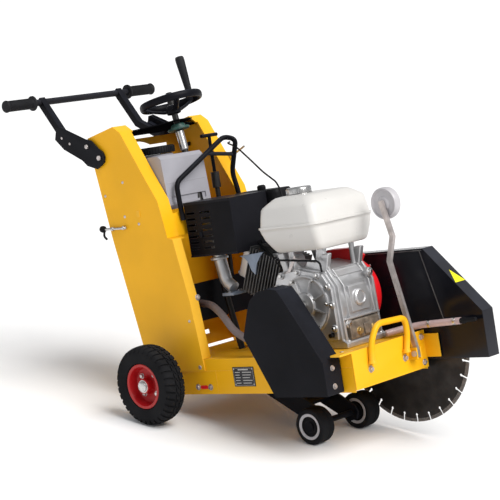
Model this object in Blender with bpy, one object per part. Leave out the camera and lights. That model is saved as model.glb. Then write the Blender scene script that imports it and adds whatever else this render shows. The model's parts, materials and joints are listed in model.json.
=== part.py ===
"""Walk-behind concrete saw: welded frame, leaning console, petrol engine, belt drive and 400 mm blade.
Built in the machine's own frame (x forward, y to the operator's left, z up, origin on the rear axle),
then pitched nose-up on its wheels, which is how it stands when it is wheeled about."""
import math
import bmesh
import bpy
from mathutils import Matrix, Vector

# ---- driving dimensions, metres
PITCH_DEG = 12.35
ORIGIN_X = 0.11493
REAR_R = 0.1075
REAR_Y = 0.2695
FRONT_R = 0.0483
FRONT_Y = 0.0932
FRONT_HALF_W = 0.024
FRONT_AXLE = (0.4084, -0.1500)
CONSOLE_Y = 0.1720
SHEET = 0.003
WALL_Y = 0.1686
FAR_WALL_Y = 0.1235
DECK_TOP = 0.045
DECK_T = 0.004
BASE_BOTTOM = -0.050
BASE_REAR = -0.060
BASE_FRONT = 0.632
STEP_X = 0.300
ARM_PIVOT = (0.185, -0.015)
NUT_AT = (0.1008, 0.0025)
SCREW_TOP = (-0.0284, 0.7330)
SCREW_R = 0.009
BLADE_AXIS = (0.555, 0.006)
BLADE_R = 0.2015
BLADE_Y = (0.1419, 0.1449)
SEGMENTS = 28
CRANK_AXIS = (0.445, 0.165)
BELT_Y = -0.207
BLADE_PULLEY_R = 0.0280
CRANK_PULLEY_R = 0.0233
GUARD_PIVOT = (0.655, 0.030)
GUARD_Y = (0.1275, 0.1720)
HANDLE_PIVOT = (-0.158, 0.619)
BAR_AT = (-0.401, 0.8015)
BAR_END_Y = 0.283
ARM_Y = (0.138, 0.158)
POINTER_PIVOT = (0.655, 0.003)
POINTER_WHEEL = (0.612, 0.391)
GAP = 0.0004
WELD = 0.00002

for old in list(bpy.data.objects):
    bpy.data.objects.remove(old, do_unlink=True)

SCENE = bpy.context.scene.collection


def material(name, colour, roughness, metallic):
    """One plain surface finish."""
    mat = bpy.data.materials.new(name)
    mat.use_nodes = True
    shader = mat.node_tree.nodes["Principled BSDF"]
    shader.inputs["Base Color"].default_value = (*colour, 1.0)
    shader.inputs["Roughness"].default_value = roughness
    shader.inputs["Metallic"].default_value = metallic
    mat.diffuse_color = (*colour, 1.0)
    return mat


YELLOW = material("yellow_paint", (0.72, 0.38, 0.015), 0.4, 0.0)
BLACK = material("black_paint", (0.012, 0.012, 0.015), 0.45, 0.0)
RED = material("red_paint", (0.62, 0.015, 0.02), 0.4, 0.0)
WHITE = material("white_paint", (0.82, 0.80, 0.76), 0.35, 0.0)
ALLOY = material("cast_alloy", (0.48, 0.47, 0.47), 0.45, 0.9)
STEEL = material("bright_steel", (0.55, 0.55, 0.56), 0.3, 1.0)
ZINC = material("zinc_plate", (0.45, 0.42, 0.40), 0.4, 0.9)
BLADE_STEEL = material("blade_steel", (0.05, 0.045, 0.042), 0.45, 0.8)
TYRE = material("tyre_rubber", (0.014, 0.014, 0.016), 0.85, 0.0)
RUBBER = material("grip_rubber", (0.022, 0.022, 0.024), 0.75, 0.0)
GREY_PLASTIC = material("tank_plastic", (0.42, 0.41, 0.44), 0.5, 0.0)
BLACK_PLASTIC = material("black_plastic", (0.014, 0.014, 0.016), 0.5, 0.0)
NYLON = material("nylon", (0.68, 0.66, 0.68), 0.45, 0.0)
GREEN = material("green_casting", (0.012, 0.06, 0.045), 0.5, 0.0)
HOSE = material("hose_rubber", (0.15, 0.12, 0.11), 0.6, 0.0)
CLEAR_HOSE = material("clear_hose", (0.52, 0.38, 0.38), 0.4, 0.0)
PLATE = material("plate_print", (0.02, 0.02, 0.022), 0.4, 0.2)

def from_bmesh(name, bm, mat, smooth=False):
    bmesh.ops.recalc_face_normals(bm, faces=bm.faces)
    mesh = bpy.data.meshes.new(name)
    bm.to_mesh(mesh)
    bm.free()
    mesh.materials.append(mat)
    for face in mesh.polygons:
        face.use_smooth = smooth
    obj = bpy.data.objects.new(name, mesh)
    SCENE.objects.link(obj)
    return obj


def prism(name, poly, y0, y1, mat=BLACK):
    """A polygon in the x-z plane carried from y0 to y1."""
    bm = bmesh.new()
    ring0 = [bm.verts.new((x, y0, z)) for x, z in poly]
    ring1 = [bm.verts.new((x, y1, z)) for x, z in poly]
    bm.faces.new(ring0)
    bm.faces.new(ring1[::-1])
    count = len(poly)
    for i in range(count):
        j = (i + 1) % count
        bm.faces.new((ring0[i], ring1[i], ring1[j], ring0[j]))
    return from_bmesh(name, bm, mat)


def box(name, x, y, z, mat=BLACK):
    return prism(name, [(x[0], z[0]), (x[1], z[0]), (x[1], z[1]), (x[0], z[1])], y[0], y[1], mat)


def strip(path, thick, below=True):
    """A bent sheet seen edge-on: the path and its copy moved over by the sheet's thickness."""
    other = []
    for i, point in enumerate(path):
        ahead = Vector(path[min(i + 1, len(path) - 1)]) - Vector(point)
        behind = Vector(point) - Vector(path[max(i - 1, 0)])
        unit_a = ahead.normalized() if ahead.length else behind.normalized()
        unit_b = behind.normalized() if behind.length else ahead.normalized()
        normal = Vector((-(unit_a.y + unit_b.y), unit_a.x + unit_b.x)).normalized()
        reach = thick / max(0.5, normal.dot(Vector((-unit_a.y, unit_a.x))))
        side = -1.0 if below else 1.0
        other.append((point[0] + side * normal.x * reach, point[1] + side * normal.y * reach))
    return list(path) + other[::-1]


def lathe(name, profile, origin, axis, mat, segments=16, smooth=True):
    """A closed outline of (radius, distance along the axis) turned about the axis."""
    direction = Vector(axis).normalized()
    turn = direction.to_track_quat("Z", "Y").to_matrix().to_4x4()
    place = Matrix.Translation(Vector(origin)) @ turn
    bm = bmesh.new()
    rings = []
    for radius, height in profile:
        if radius < 1e-6:
            rings.append([bm.verts.new(place @ Vector((0, 0, height)))])
            continue
        ring = []
        for k in range(segments):
            angle = 2 * math.pi * k / segments
            ring.append(bm.verts.new(place @ Vector((radius * math.cos(angle), radius * math.sin(angle),
                                                     height))))
        rings.append(ring)
    count = len(rings)
    for i in range(count):
        first, second = rings[i], rings[(i + 1) % count]
        if len(first) == 1 and len(second) == 1:
            continue
        for k in range(segments):
            m = (k + 1) % segments
            if len(first) == 1:
                bm.faces.new((first[0], second[m], second[k]))
            elif len(second) == 1:
                bm.faces.new((first[k], first[m], second[0]))
            else:
                bm.faces.new((first[k], first[m], second[m], second[k]))
    obj = from_bmesh(name, bm, mat, smooth)
    if smooth:
        obj.data.set_sharp_from_angle(angle=math.radians(35))
    return obj


def rod(name, start, end, radius, mat=BLACK, segments=14):
    start, end = Vector(start), Vector(end)
    length = (end - start).length
    outline = [(0, 0), (radius, 0), (radius, length), (0, length)]
    return lathe(name, outline, start, end - start, mat, segments)


def yrod(name, at, y0, y1, radius, mat=BLACK, segments=14):
    return rod(name, (at[0], y0, at[1]), (at[0], y1, at[1]), radius, mat, segments)


def rounded_path(points, radius, steps=3):
    """Straight runs joined by arcs of the given bend radius."""
    points = [Vector(p) for p in points]
    out = [points[0]]
    for i in range(1, len(points) - 1):
        back = (points[i - 1] - points[i])
        ahead = (points[i + 1] - points[i])
        cut = min(radius, back.length * 0.45, ahead.length * 0.45)
        a = points[i] + back.normalized() * cut
        b = points[i] + ahead.normalized() * cut
        for s in range(steps + 1):
            t = s / steps
            out.append(a * (1 - t) ** 2 + points[i] * 2 * t * (1 - t) + b * t ** 2)
    out.append(points[-1])
    return out


def tube(name, points, radius, mat, sides=8):
    """A round bar or hose swept along a path."""
    bm = bmesh.new()
    rings = []
    up = Vector((0.3, 0.4, 0.86)).normalized()
    for i, point in enumerate(points):
        ahead = points[min(i + 1, len(points) - 1)] - points[max(i - 1, 0)]
        tangent = ahead.normalized()
        up = (up - tangent * up.dot(tangent)).normalized()
        side = tangent.cross(up)
        ring = []
        for k in range(sides):
            angle = 2 * math.pi * k / sides
            ring.append(bm.verts.new(point + (up * math.cos(angle) + side * math.sin(angle)) * radius))
        rings.append(ring)
    for first, second in zip(rings, rings[1:]):
        for k in range(sides):
            m = (k + 1) % sides
            bm.faces.new((first[k], first[m], second[m], second[k]))
    bm.faces.new(rings[0][::-1])
    bm.faces.new(rings[-1])
    obj = from_bmesh(name, bm, mat, True)
    obj.data.set_sharp_from_angle(angle=math.radians(50))
    return obj


def combine(base, adds=(), cuts=()):
    """Join and cut closed solids, leaving one mesh with no helpers behind."""
    for tools, operation in ((adds, "UNION"), (cuts, "DIFFERENCE")):
        for tool in tools:
            mod = base.modifiers.new("join", "BOOLEAN")
            mod.operation = operation
            mod.solver = "EXACT"
            mod.object = tool
            tool.hide_render = True
            tool.display_type = "WIRE"
    graph = bpy.context.evaluated_depsgraph_get()
    graph.update()
    mesh = bpy.data.meshes.new_from_object(base.evaluated_get(graph))
    base.modifiers.clear()
    bm = bmesh.new()
    bm.from_mesh(mesh)
    bmesh.ops.remove_doubles(bm, verts=bm.verts, dist=WELD)
    bmesh.ops.dissolve_degenerate(bm, edges=bm.edges, dist=WELD)
    bm.to_mesh(mesh)
    bm.free()
    base.data = mesh
    for tool in list(adds) + list(cuts):
        bpy.data.objects.remove(tool, do_unlink=True)
    return base


def bevel(obj, width, segments=2):
    mod = obj.modifiers.new("edge", "BEVEL")
    mod.width = width
    mod.segments = segments
    mod.limit_method = "ANGLE"
    mod.angle_limit = math.radians(40)
    return obj


def along_screw(s):
    """Point at distance s down the lifting screw's axis from the handwheel hub."""
    return Vector((SCREW_TOP[0] + SCREW_DIR.x * s, 0.0, SCREW_TOP[1] + SCREW_DIR.z * s))


SCREW_DIR = Vector((NUT_AT[0] - SCREW_TOP[0], 0.0, NUT_AT[1] - SCREW_TOP[1]))
SCREW_DIR.normalize()


# ---- welded base
def build_base():
    deck_poly = [(BASE_REAR, -WALL_Y), (BASE_FRONT, -WALL_Y), (BASE_FRONT, FAR_WALL_Y), (STEP_X, FAR_WALL_Y),
                 (STEP_X, WALL_Y), (BASE_REAR, WALL_Y)]
    bm = bmesh.new()
    low = [bm.verts.new((x, y, DECK_TOP - DECK_T)) for x, y in deck_poly]
    high = [bm.verts.new((x, y, DECK_TOP)) for x, y in deck_poly]
    bm.faces.new(low)
    bm.faces.new(high[::-1])
    for i in range(len(deck_poly)):
        j = (i + 1) % len(deck_poly)
        bm.faces.new((low[i], high[i], high[j], low[j]))
    deck = from_bmesh("base_frame", bm, YELLOW)
    top = DECK_TOP - DECK_T / 2
    wall_z = (BASE_BOTTOM, top)
    adds = [
        box("w", (BASE_REAR, BASE_FRONT), (-WALL_Y, -WALL_Y + SHEET), wall_z),
        box("w", (BASE_REAR, STEP_X), (WALL_Y - SHEET, WALL_Y), wall_z),
        box("w", (STEP_X - SHEET, BASE_FRONT), (FAR_WALL_Y - SHEET, FAR_WALL_Y), wall_z),
        box("w", (STEP_X - SHEET, STEP_X), (FAR_WALL_Y - SHEET, WALL_Y), wall_z),
        box("w", (BASE_REAR, BASE_REAR + SHEET), (-WALL_Y, WALL_Y), wall_z),
    ]
    cuts = [
        box("c", (0.072, 0.116), (-0.030, 0.030), (0.030, 0.060)),
        yrod("c", (0.0, 0.0), -0.2, 0.2, 0.0104),
        yrod("c", BLADE_AXIS, -0.2, 0.15, 0.0140),
    ]
    combine(deck, adds, cuts)


def build_front_plate():
    x0, x1 = BASE_FRONT + GAP, BASE_FRONT + GAP + 0.004
    plate = box("front_plate", (x0, x1), (-WALL_Y, FAR_WALL_Y), (-0.045, 0.052), YELLOW)
    adds = [
        box("a", (0.604, x1), (-0.212, -0.150), (0.0475, 0.052)),
        box("a", (x0 + 0.001, 0.682), (0.1195, FAR_WALL_Y), (-0.019, 0.042)),
        yrod("a", GUARD_PIVOT, 0.1215, 0.1330, 0.0050),
        yrod("a", GUARD_PIVOT, 0.1312, 0.1345, 0.0090),
        box("a", (x1 - 0.001, 0.662), (0.0505, 0.0545), (-0.012, 0.018)),
        box("a", (x1 - 0.001, 0.662), (0.0655, 0.0695), (-0.012, 0.018)),
    ]
    cuts = [yrod("c", POINTER_PIVOT, 0.04, 0.08, 0.0042)]
    combine(plate, adds, cuts)


def build_lift_handle():
    x = BASE_FRONT + GAP + 0.004 + 0.0085
    path = rounded_path([(x, -0.105, 0.014), (x, -0.100, 0.060), (x + 0.003, -0.072, 0.104), (x + 0.003,
                        0.040, 0.099),
                         (x, 0.046, 0.058), (x, 0.033, 0.014)], 0.022)
    tube("lift_handle", path, 0.008, YELLOW)


# ---- console
FRONT_EDGE = [(-0.070, 0.678), (0.004, 0.537), (0.035, 0.481), (0.046, 0.418), (0.052, 0.378)]
LOWER_EDGE = [(0.070, 0.374), (0.098, 0.205), (0.112, 0.046), (0.114, 0.014)]
REAR_EDGE = [(-0.205, 0.677), (-0.195, 0.590), (-0.183, 0.503), (-0.167, 0.389), (-0.114, 0.094), (-0.100,
             0.014)]
APEX = (-0.096, 0.697)


def build_console_side(name, sign):
    """Folded sheet cheek with a front flange, a widened lug for the lifting hoop and a top flap."""
    outline = [APEX] + FRONT_EDGE + LOWER_EDGE + REAR_EDGE[::-1]
    outer, inner = sign * CONSOLE_Y, sign * (CONSOLE_Y - SHEET)

    def flange(path, reach):
        ends = sorted((outer - sign * 0.0006, sign * (CONSOLE_Y - reach)))
        return prism("f", strip(path, SHEET), ends[0], ends[1])

    side = prism(name, outline, min(outer, inner), max(outer, inner), YELLOW)
    adds = [
        flange(FRONT_EDGE, 0.043),
        flange([(0.0412, 0.4410), (0.0452, 0.4179), (0.0510, 0.3790)], 0.086),
        flange([(0.0500, 0.3775), (0.0690, 0.3733)], 0.047),
        flange(LOWER_EDGE[:2] + [(0.112, 0.0456)], 0.032),
        flange([REAR_EDGE[0], APEX, FRONT_EDGE[0]], 0.050),
    ]
    pivot = (HANDLE_PIVOT[0], HANDLE_PIVOT[1])
    cuts = [yrod("c", pivot, sign * 0.16, sign * 0.19, 0.0066)]
    combine(side, adds, cuts)


def build_rear_panel():
    path = [(x + 0.0042, z) for x, z in REAR_EDGE[1:5]]
    path = [(-0.2000, 0.6560)] + path + [(-0.1020, DECK_TOP + 0.0015)]
    reach = CONSOLE_Y - SHEET - GAP
    panel = prism("rear_panel", strip(path, 0.002, below=False), -reach, reach, YELLOW)
    cuts = [box("c", (-0.30, -0.12), (-0.115, 0.115), (0.606, 0.634)),
            rod("c", (-0.30, 0.0, 0.5500), (-0.10, 0.0, 0.5500), 0.098, segments=40),
            box("c", (-0.30, -0.05), (-0.080, 0.080), (0.120, 0.132)),
            box("c", (-0.30, -0.05), (-0.080, 0.080), (0.076, 0.088))]
    combine(panel, [], cuts)


def build_cross_panel():
    bevel(box("cross_panel", (0.0350, 0.0380), (-0.137, 0.137), (0.135, 0.240), BLACK), 0.0008, 1)


def build_top_plate():
    """Shelf under the handwheel, with a tongue that carries the screw bearing."""
    half = CONSOLE_Y - SHEET - GAP
    poly = [(-0.196, -half), (-0.105, -half), (-0.085, -0.105), (-0.045, -0.055), (0.012, -0.030),
            (0.012, 0.030), (-0.045, 0.055), (-0.085, 0.105), (-0.105, half), (-0.196, half)]
    bm = bmesh.new()
    base_z, slope = 0.6640, 0.11
    low = [bm.verts.new((x, y, base_z + slope * (x + 0.205))) for x, y in poly]
    high = [bm.verts.new((x, y, base_z + SHEET + slope * (x + 0.205))) for x, y in poly]
    bm.faces.new(low)
    bm.faces.new(high[::-1])
    for i in range(len(poly)):
        j = (i + 1) % len(poly)
        bm.faces.new((low[i], high[i], high[j], low[j]))
    plate = from_bmesh("top_plate", bm, BLACK)
    combine(plate, [], [rod("c", along_screw(0.0), along_screw(0.12), 0.0130)])


def build_screw_bearing():
    outline = [(0.0094, 0.0), (0.0180, 0.0), (0.0200, 0.004), (0.0200, 0.010), (0.0310, 0.0105),
               (0.0310, 0.0170), (0.0094, 0.0170)]
    lathe("screw_bearing", [(r, -h) for r, h in outline], along_screw(0.0560), -SCREW_DIR, GREEN)


def build_lifting_hoop():
    main = rounded_path([(0.0538, -0.104, 0.4170), (0.0500, -0.104, 0.4560), (0.048, -0.104, 0.520), (0.060,
                        0.092, 0.624),
                         (0.086, 0.112, 0.612), (0.052, 0.112, 0.522), (0.066, 0.112, 0.462),
                         (0.060, 0.110, 0.418)], 0.020)
    hoop = tube("lifting_hoop", main, 0.0070, BLACK)
    brace = rod("a", (0.0545, 0.020, 0.5850), (0.069, 0.112, 0.572), 0.0055, segments=10)
    combine(hoop, [brace])


def build_water_tank():
    outline = [(-0.150, 0.450), (0.020, 0.450), (0.030, 0.462), (0.024, 0.588), (0.014, 0.598), (-0.164, 0.598),
               (-0.174, 0.586)]
    tank = prism("water_tank", outline, -0.1260, 0.036, GREY_PLASTIC)
    neck = rod("a", (-0.067, -0.048, 0.590), (-0.067, -0.048, 0.6040), 0.040)
    tunnel = rod("c", along_screw(0.02), along_screw(0.45), 0.0125)
    recess = box("c", (0.0255, 0.05), (-0.110, 0.020), (0.468, 0.484))
    combine(tank, [neck], [tunnel, recess])
    bevel(tank, 0.004, 1)
    ribs = [(0, 0), (0.048, 0), (0.0505, 0.003), (0.0505, 0.018), (0.0470, 0.0215), (0, 0.0215)]
    lathe("water_tank_cap", ribs, (-0.067, -0.048, 0.6045), (0, 0, 1), BLACK_PLASTIC)


# ---- wheels
def build_rear_wheels():
    half_tyre = [(0.0568, 0.026), (0.0625, 0.026), (0.0640, 0.0315), (0.0780, 0.0336), (0.0960, 0.0320),
                 (0.1055, 0.0220), (REAR_R, 0.0110)]
    tyre = half_tyre + [(r, -h) for r, h in half_tyre[::-1]]
    half_rim = [(0.0104, 0.028), (0.0200, 0.028), (0.0220, 0.003), (0.0480, 0.003), (0.0525, 0.0294),
                (0.0612, 0.0294), (0.0612, 0.0266), (0.0562, 0.0264)]
    rim = half_rim + [(r, -h) for r, h in half_rim[::-1]]
    for side, sign in (("right", -1), ("left", 1)):
        at = (0.0, sign * REAR_Y, 0.0)
        lathe("rear_tyre_" + side, tyre, at, (0, 1, 0), TYRE, 24)
        lathe("rear_rim_" + side, rim, at, (0, 1, 0), RED, 20)
    half_axle = [(0.0100, 0.232), (0.0160, 0.232), (0.0160, 0.240), (0.0100, 0.240), (0.0100, 0.2979),
                 (0.0150, 0.2979), (0.0150, 0.3019), (0.0100, 0.3041), (0, 0.3047)]
    lathe("rear_axle", [(r, -h) for r, h in half_axle[::-1]] + half_axle, (0, 0, 0), (0, 1, 0), STEEL, 16)


def build_front_wheels():
    half_hub = [(0.0084, 0.0225), (0.0270, 0.0225), (0.0350, FRONT_HALF_W), (0.0430, FRONT_HALF_W), (FRONT_R,
                0.0190)]
    hub = half_hub + [(r, -h) for r, h in half_hub[::-1]]
    for side, sign in (("right", -1), ("left", 1)):
        at = (FRONT_AXLE[0], sign * FRONT_Y, FRONT_AXLE[1])
        lathe("front_wheel_" + side, hub, at, (0, 1, 0), TYRE, 20)


def build_swing_arm():
    px, pz = ARM_PIVOT
    half_pivot = [(0.0150, 0.060), (0.0080, 0.060), (0.0080, 0.1650), (0, 0.1650)]
    arm = lathe("swing_arm", [(r, -h) for r, h in half_pivot[::-1]] + half_pivot, (px, 0, pz), (0, 1, 0),
                BLACK, 16)
    cheek = [(px - 0.022, pz + 0.012), (px - 0.006, pz + 0.024), (px + 0.020, pz + 0.016), (0.424, -0.132),
             (0.432, -0.148),
             (0.424, -0.168), (0.398, -0.174), (px - 0.022, pz - 0.030)]
    adds = []
    for y0 in (-0.0585, 0.0515):
        adds.append(prism("a", cheek, y0, y0 + 0.007))
    web = [(0.215, -0.036), (0.345, -0.106), (0.342, -0.113), (0.212, -0.043)]
    adds.append(prism("a", web, -0.055, 0.055))
    reach = Vector((NUT_AT[0] - px, NUT_AT[1] - pz)).normalized()
    across = Vector((-reach.y, reach.x))
    fork = [(0.0, 0.013), (0.100, 0.013), (0.100, 0.0071), (0.0715, 0.0071), (0.0715, -0.0071), (0.100,
            -0.0071),
            (0.100, -0.013), (0.0, -0.013)]
    lever = [(px + reach.x * u + across.x * w, pz + reach.y * u + across.y * w) for u, w in fork]
    for y0 in (-0.0245, 0.0190):
        adds.append(prism("a", lever, y0, y0 + 0.0055))
    half_axle = [(0.0080, 0.1178), (0.0140, 0.1178), (0.0140, 0.1193), (0, 0.1196)]
    adds.append(lathe("a", [(r, -h) for r, h in half_axle[::-1]] + half_axle, (FRONT_AXLE[0], 0, FRONT_AXLE[1]),
                      (0, 1, 0), BLACK, 16))
    combine(arm, adds)


# ---- lifting screw
def build_screw():
    outline = [(0, -0.036), (0.0080, -0.035), (0.0105, -0.030), (0.0105, -0.0006), (0.0070, -0.0006),
               (0.0070, 0.0280), (SCREW_R, 0.0285), (SCREW_R, 0.795), (0.0070,
               0.800),
               (0, 0.800)]
    lathe("lead_screw", outline, along_screw(0.0), SCREW_DIR, STEEL, 16)
    nut = box("lift_nut", (-0.015, 0.015), (-0.0184, 0.0184), (-0.015, 0.015), ZINC)
    pin = yrod("a", (0.0, 0.0), -0.0262, 0.0262, 0.0060)
    bore = rod("c", (0, 0, -0.05), (0, 0, 0.05), SCREW_R + GAP)
    combine(nut, [pin], [bore])
    turn = (-SCREW_DIR).to_track_quat("Z", "Y")
    nut.data.transform(Matrix.Translation((NUT_AT[0], 0.0, NUT_AT[1])) @ turn.to_matrix().to_4x4())


def build_handwheel():
    up = -SCREW_DIR
    rim = [(0.0780, 0.000), (0.0870, -0.002), (0.0895, 0.002), (0.0895, 0.016), (0.0870, 0.020), (0.0790,
           0.018)]
    wheel = lathe("handwheel", rim, along_screw(0.0), up, BLACK, 24)
    hub_ring = [(0.0074, -0.026), (0.0200, -0.026), (0.0200, -0.012), (0.0160, -0.002), (0.0074, -0.002)]
    adds = [lathe("a", hub_ring, along_screw(0.0), up, BLACK, 24)]
    grip_dir = Vector((0.0, 1.0, 0.0))
    side = up.cross(grip_dir).normalized()
    for angle in (90, 210, 330):
        a = math.radians(angle)
        out = side * math.cos(a) + grip_dir * math.sin(a)
        lateral = up.cross(out)
        start = along_screw(0.0) + out * 0.014 - up * 0.018
        end = along_screw(0.0) + out * 0.083 + up * 0.006
        bm = bmesh.new()
        rings = []
        for centre, half in ((start, 0.010), (end, 0.008)):
            ring = []
            for u, w in ((-1, -1), (1, -1), (1, 1), (-1, 1)):
                ring.append(bm.verts.new(centre + lateral * half * u + up * 0.0045 * w))
            rings.append(ring)
        bm.faces.new(rings[0][::-1])
        bm.faces.new(rings[1])
        for k in range(4):
            m = (k + 1) % 4
            bm.faces.new((rings[0][k], rings[0][m], rings[1][m], rings[1][k]))
        adds.append(from_bmesh("a", bm, BLACK))
    foot = along_screw(0.0) + grip_dir * 0.0790
    adds.append(rod("a", foot + up * 0.004, foot + up * 0.0215, 0.0115, segments=16))
    adds.append(rod("a", foot + up * 0.010, foot + up * 0.060, 0.0040, segments=12))
    combine(wheel, adds)
    grip = [(0.0043, 0.0220), (0.0085, 0.0220), (0.0095, 0.032), (0.0125, 0.105), (0.0130, 0.129), (0.0110, 0.1335),
            (0, 0.1345), (0, 0.0620), (0.0043, 0.0620)]
    lathe("crank_grip", grip, foot, up, RUBBER, 20)


# ---- handlebar
def build_handlebar():
    bar_y = BAR_END_Y - 0.006
    yrod("crossbar", BAR_AT, -bar_y, bar_y, 0.0095, BLACK, 16)
    grip = [(0.0099, 0.0), (0.0205, 0.0), (0.0215, 0.003), (0.0205, 0.007), (0.0155, 0.009), (0.0155, 0.094),
            (0.0175, 0.097), (0.0165, 0.102), (0, 0.102), (0, 0.0965), (0.0099, 0.0965)]
    elbow = [BAR_AT, (-0.334, 0.7030), (-0.246, 0.6560)]
    for side, sign in (("right", -1), ("left", 1)):
        lathe("grip_" + side, grip, (BAR_AT[0], sign * (BAR_END_Y - 0.102), BAR_AT[1]), (0, sign, 0), RUBBER,
              20)
        ys = sorted((sign * ARM_Y[0], sign * ARM_Y[1]))
        head = Vector(elbow[0]) - Vector(elbow[1])
        head = Vector(elbow[0]) + head.normalized() * 0.010
        spine = [tuple(head), elbow[1], elbow[2]]
        upper = strip(spine, 0.010, below=False)[3:]
        lower = strip(spine, 0.010, below=True)[3:]
        arm = prism("handle_arm_" + side, lower + upper[::-1], ys[0], ys[1], BLACK)
        plate = [(-0.331, 0.686), (-0.327, 0.699), (-0.302, 0.716), (-0.195, 0.666), (-0.146, 0.634), (-0.140,
                 0.619),
                 (-0.146, 0.604), (-0.158, 0.600), (-0.171, 0.604)]
        ps = sorted((sign * 0.1732, sign * 0.1772))
        adds = [prism("a", plate, ps[0], ps[1])]
        block = sorted((sign * (ARM_Y[1] - 0.002), sign * 0.1745))
        adds.append(prism("a", [(-0.312, 0.688), (-0.306, 0.702), (-0.252, 0.672), (-0.259, 0.658)], block[0],
                          block[1]))
        adds.append(yrod("a", HANDLE_PIVOT, sign * 0.1650, sign * 0.1825, 0.0060))
        adds.append(yrod("a", HANDLE_PIVOT, sign * 0.1765, sign * 0.1820, 0.0100))
        adds.append(yrod("a", (-0.201, 0.655), sign * 0.1765, sign * 0.1820, 0.0090))
        combine(arm, adds, [yrod("c", BAR_AT, sign * 0.12, sign * 0.17, 0.0099)])


# ---- engine
def build_engine():
    body = [(0.330, 0.0455), (0.556, 0.0455), (0.556, 0.060), (0.542, 0.068), (0.538, 0.205), (0.512, 0.245),
            (0.430, 0.262), (0.352, 0.250), (0.336, 0.215), (0.336, 0.060), (0.330, 0.056)]
    crankcase = prism("crankcase", body, -0.085, 0.070, ALLOY)
    carrier = [(0.372, 0.240), (0.392, 0.240), (0.378, 0.3020), (0.354, 0.3020)]
    carrier_front = [(0.492, 0.235), (0.514, 0.235), (0.532, 0.2905), (0.508, 0.2905)]
    adds = []
    for y0 in (-0.080, 0.048):
        adds.append(prism("a", carrier, y0, y0 + 0.016))
        adds.append(prism("a", carrier_front, y0, y0 + 0.016))
    combine(crankcase, adds)
    bevel(crankcase, 0.003, 1)
    cx, cz = CRANK_AXIS
    cover = [(0.0128, -0.0205), (0.030, -0.0205), (0.034, -0.012), (0.066, -0.010), (0.0745, -0.013), (0.0770,
             -0.010),
             (0.0770, -0.0004), (0.0128, -0.0004)]
    lathe("crankcase_cover", cover, (cx, -0.085, cz), (0, 1, 0), ALLOY, 28)
    shell = [(0, 0.0005), (0.092, 0.0005), (0.098, 0.006), (0.098, 0.020), (0.086, 0.032), (0.060, 0.042),
             (0.030, 0.0445), (0, 0.0450)]
    recoil = lathe("recoil_housing", shell, (cx, 0.070, cz), (0, 1, 0), RED, 28)
    hood = [(0.375, 0.200), (0.470, 0.220), (0.500, 0.262), (0.470, 0.284), (0.395, 0.284), (0.352, 0.262)]
    combine(recoil, [prism("a", hood, 0.0705, 0.100)])
    axis = Vector((-0.9040, 0.4275))
    across = Vector((0.4275, 0.9040))

    def slanted(d0, d1, w0, w1, y0, y1, name="a", mat=ALLOY):
        corners = [(d0, w0), (d1, w0), (d1, w1), (d0, w1)]
        poly = [(cx + axis.x * d + across.x * w, cz + axis.y * d + across.y * w) for d, w in corners]
        return prism(name, poly, y0, y1, mat)

    cylinder = slanted(0.1240, 0.2550, -0.044, 0.044, -0.048, 0.048, "cylinder")
    fins = []
    for k in range(12):
        d = 0.1320 + k * 0.0100
        fins.append(slanted(d, d + 0.0026, -0.066, 0.062, -0.066, 0.060))
    combine(cylinder, fins)
    cover_block = slanted(0.2556, 0.2860, -0.042, 0.040, -0.046, 0.040, "head_cover", ALLOY)
    bevel(cover_block, 0.006, 2)


def ring_body(name, rings, mat, corner=5):
    """A moulded tank: rounded rectangles stacked up z and skinned."""
    bm = bmesh.new()
    loops = []
    for x0, x1, y0, y1, z, radius in rings:
        loop = []
        for cx, cy, start in ((x1 - radius, y1 - radius, 0), (x0 + radius, y1 - radius, 90),
                              (x0 + radius, y0 + radius, 180), (x1 - radius, y0 + radius, 270)):
            for k in range(corner):
                angle = math.radians(start + 90.0 * k / (corner - 1))
                loop.append(bm.verts.new((cx + radius * math.cos(angle), cy + radius * math.sin(angle), z)))
        loops.append(loop)
    for first, second in zip(loops, loops[1:]):
        for k in range(len(first)):
            m = (k + 1) % len(first)
            bm.faces.new((first[k], first[m], second[m], second[k]))
    bm.faces.new(loops[0][::-1])
    bm.faces.new(loops[-1])
    obj = from_bmesh(name, bm, mat, True)
    obj.data.set_sharp_from_angle(angle=math.radians(35))
    return obj


def build_fuel_tank():
    x0, x1, half = 0.330, 0.536, 0.1215
    rings = [(x0 + 0.040, x1 - 0.012, -half + 0.036, half - 0.036, 0.3030, 0.020),
             (x0 + 0.022, x1 - 0.006, -half + 0.012, half - 0.012, 0.3180, 0.026),
             (x0 + 0.008, x1 - 0.003, -half + 0.004, half - 0.004, 0.3400, 0.030),
             (x0 + 0.005, x1 - 0.003, -half + 0.003, half - 0.003, 0.3700, 0.030),
             (x0, x1 + 0.002, -half, half, 0.3706, 0.034),
             (x0, x1 + 0.002, -half, half, 0.3742, 0.034),
             (x0 + 0.006, x1 - 0.003, -half + 0.004, half - 0.004, 0.3748, 0.030),
             (x0 + 0.010, x1 - 0.006, -half + 0.006, half - 0.006, 0.4150, 0.032),
             (x0 + 0.018, x1 - 0.014, -half + 0.013, half - 0.013, 0.4360, 0.034),
             (x0 + 0.036, x1 - 0.032, -half + 0.030, half - 0.030, 0.4460, 0.034)]
    ring_body("fuel_tank", rings, WHITE)
    cap = [(0, 0), (0.0300, 0), (0.0335, 0.002), (0.0335, 0.014), (0.0300, 0.018), (0, 0.0188)]
    lathe("fuel_cap", cap, (0.404, -0.012, 0.4464), (0, 0, 1), BLACK_PLASTIC, 24)


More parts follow.
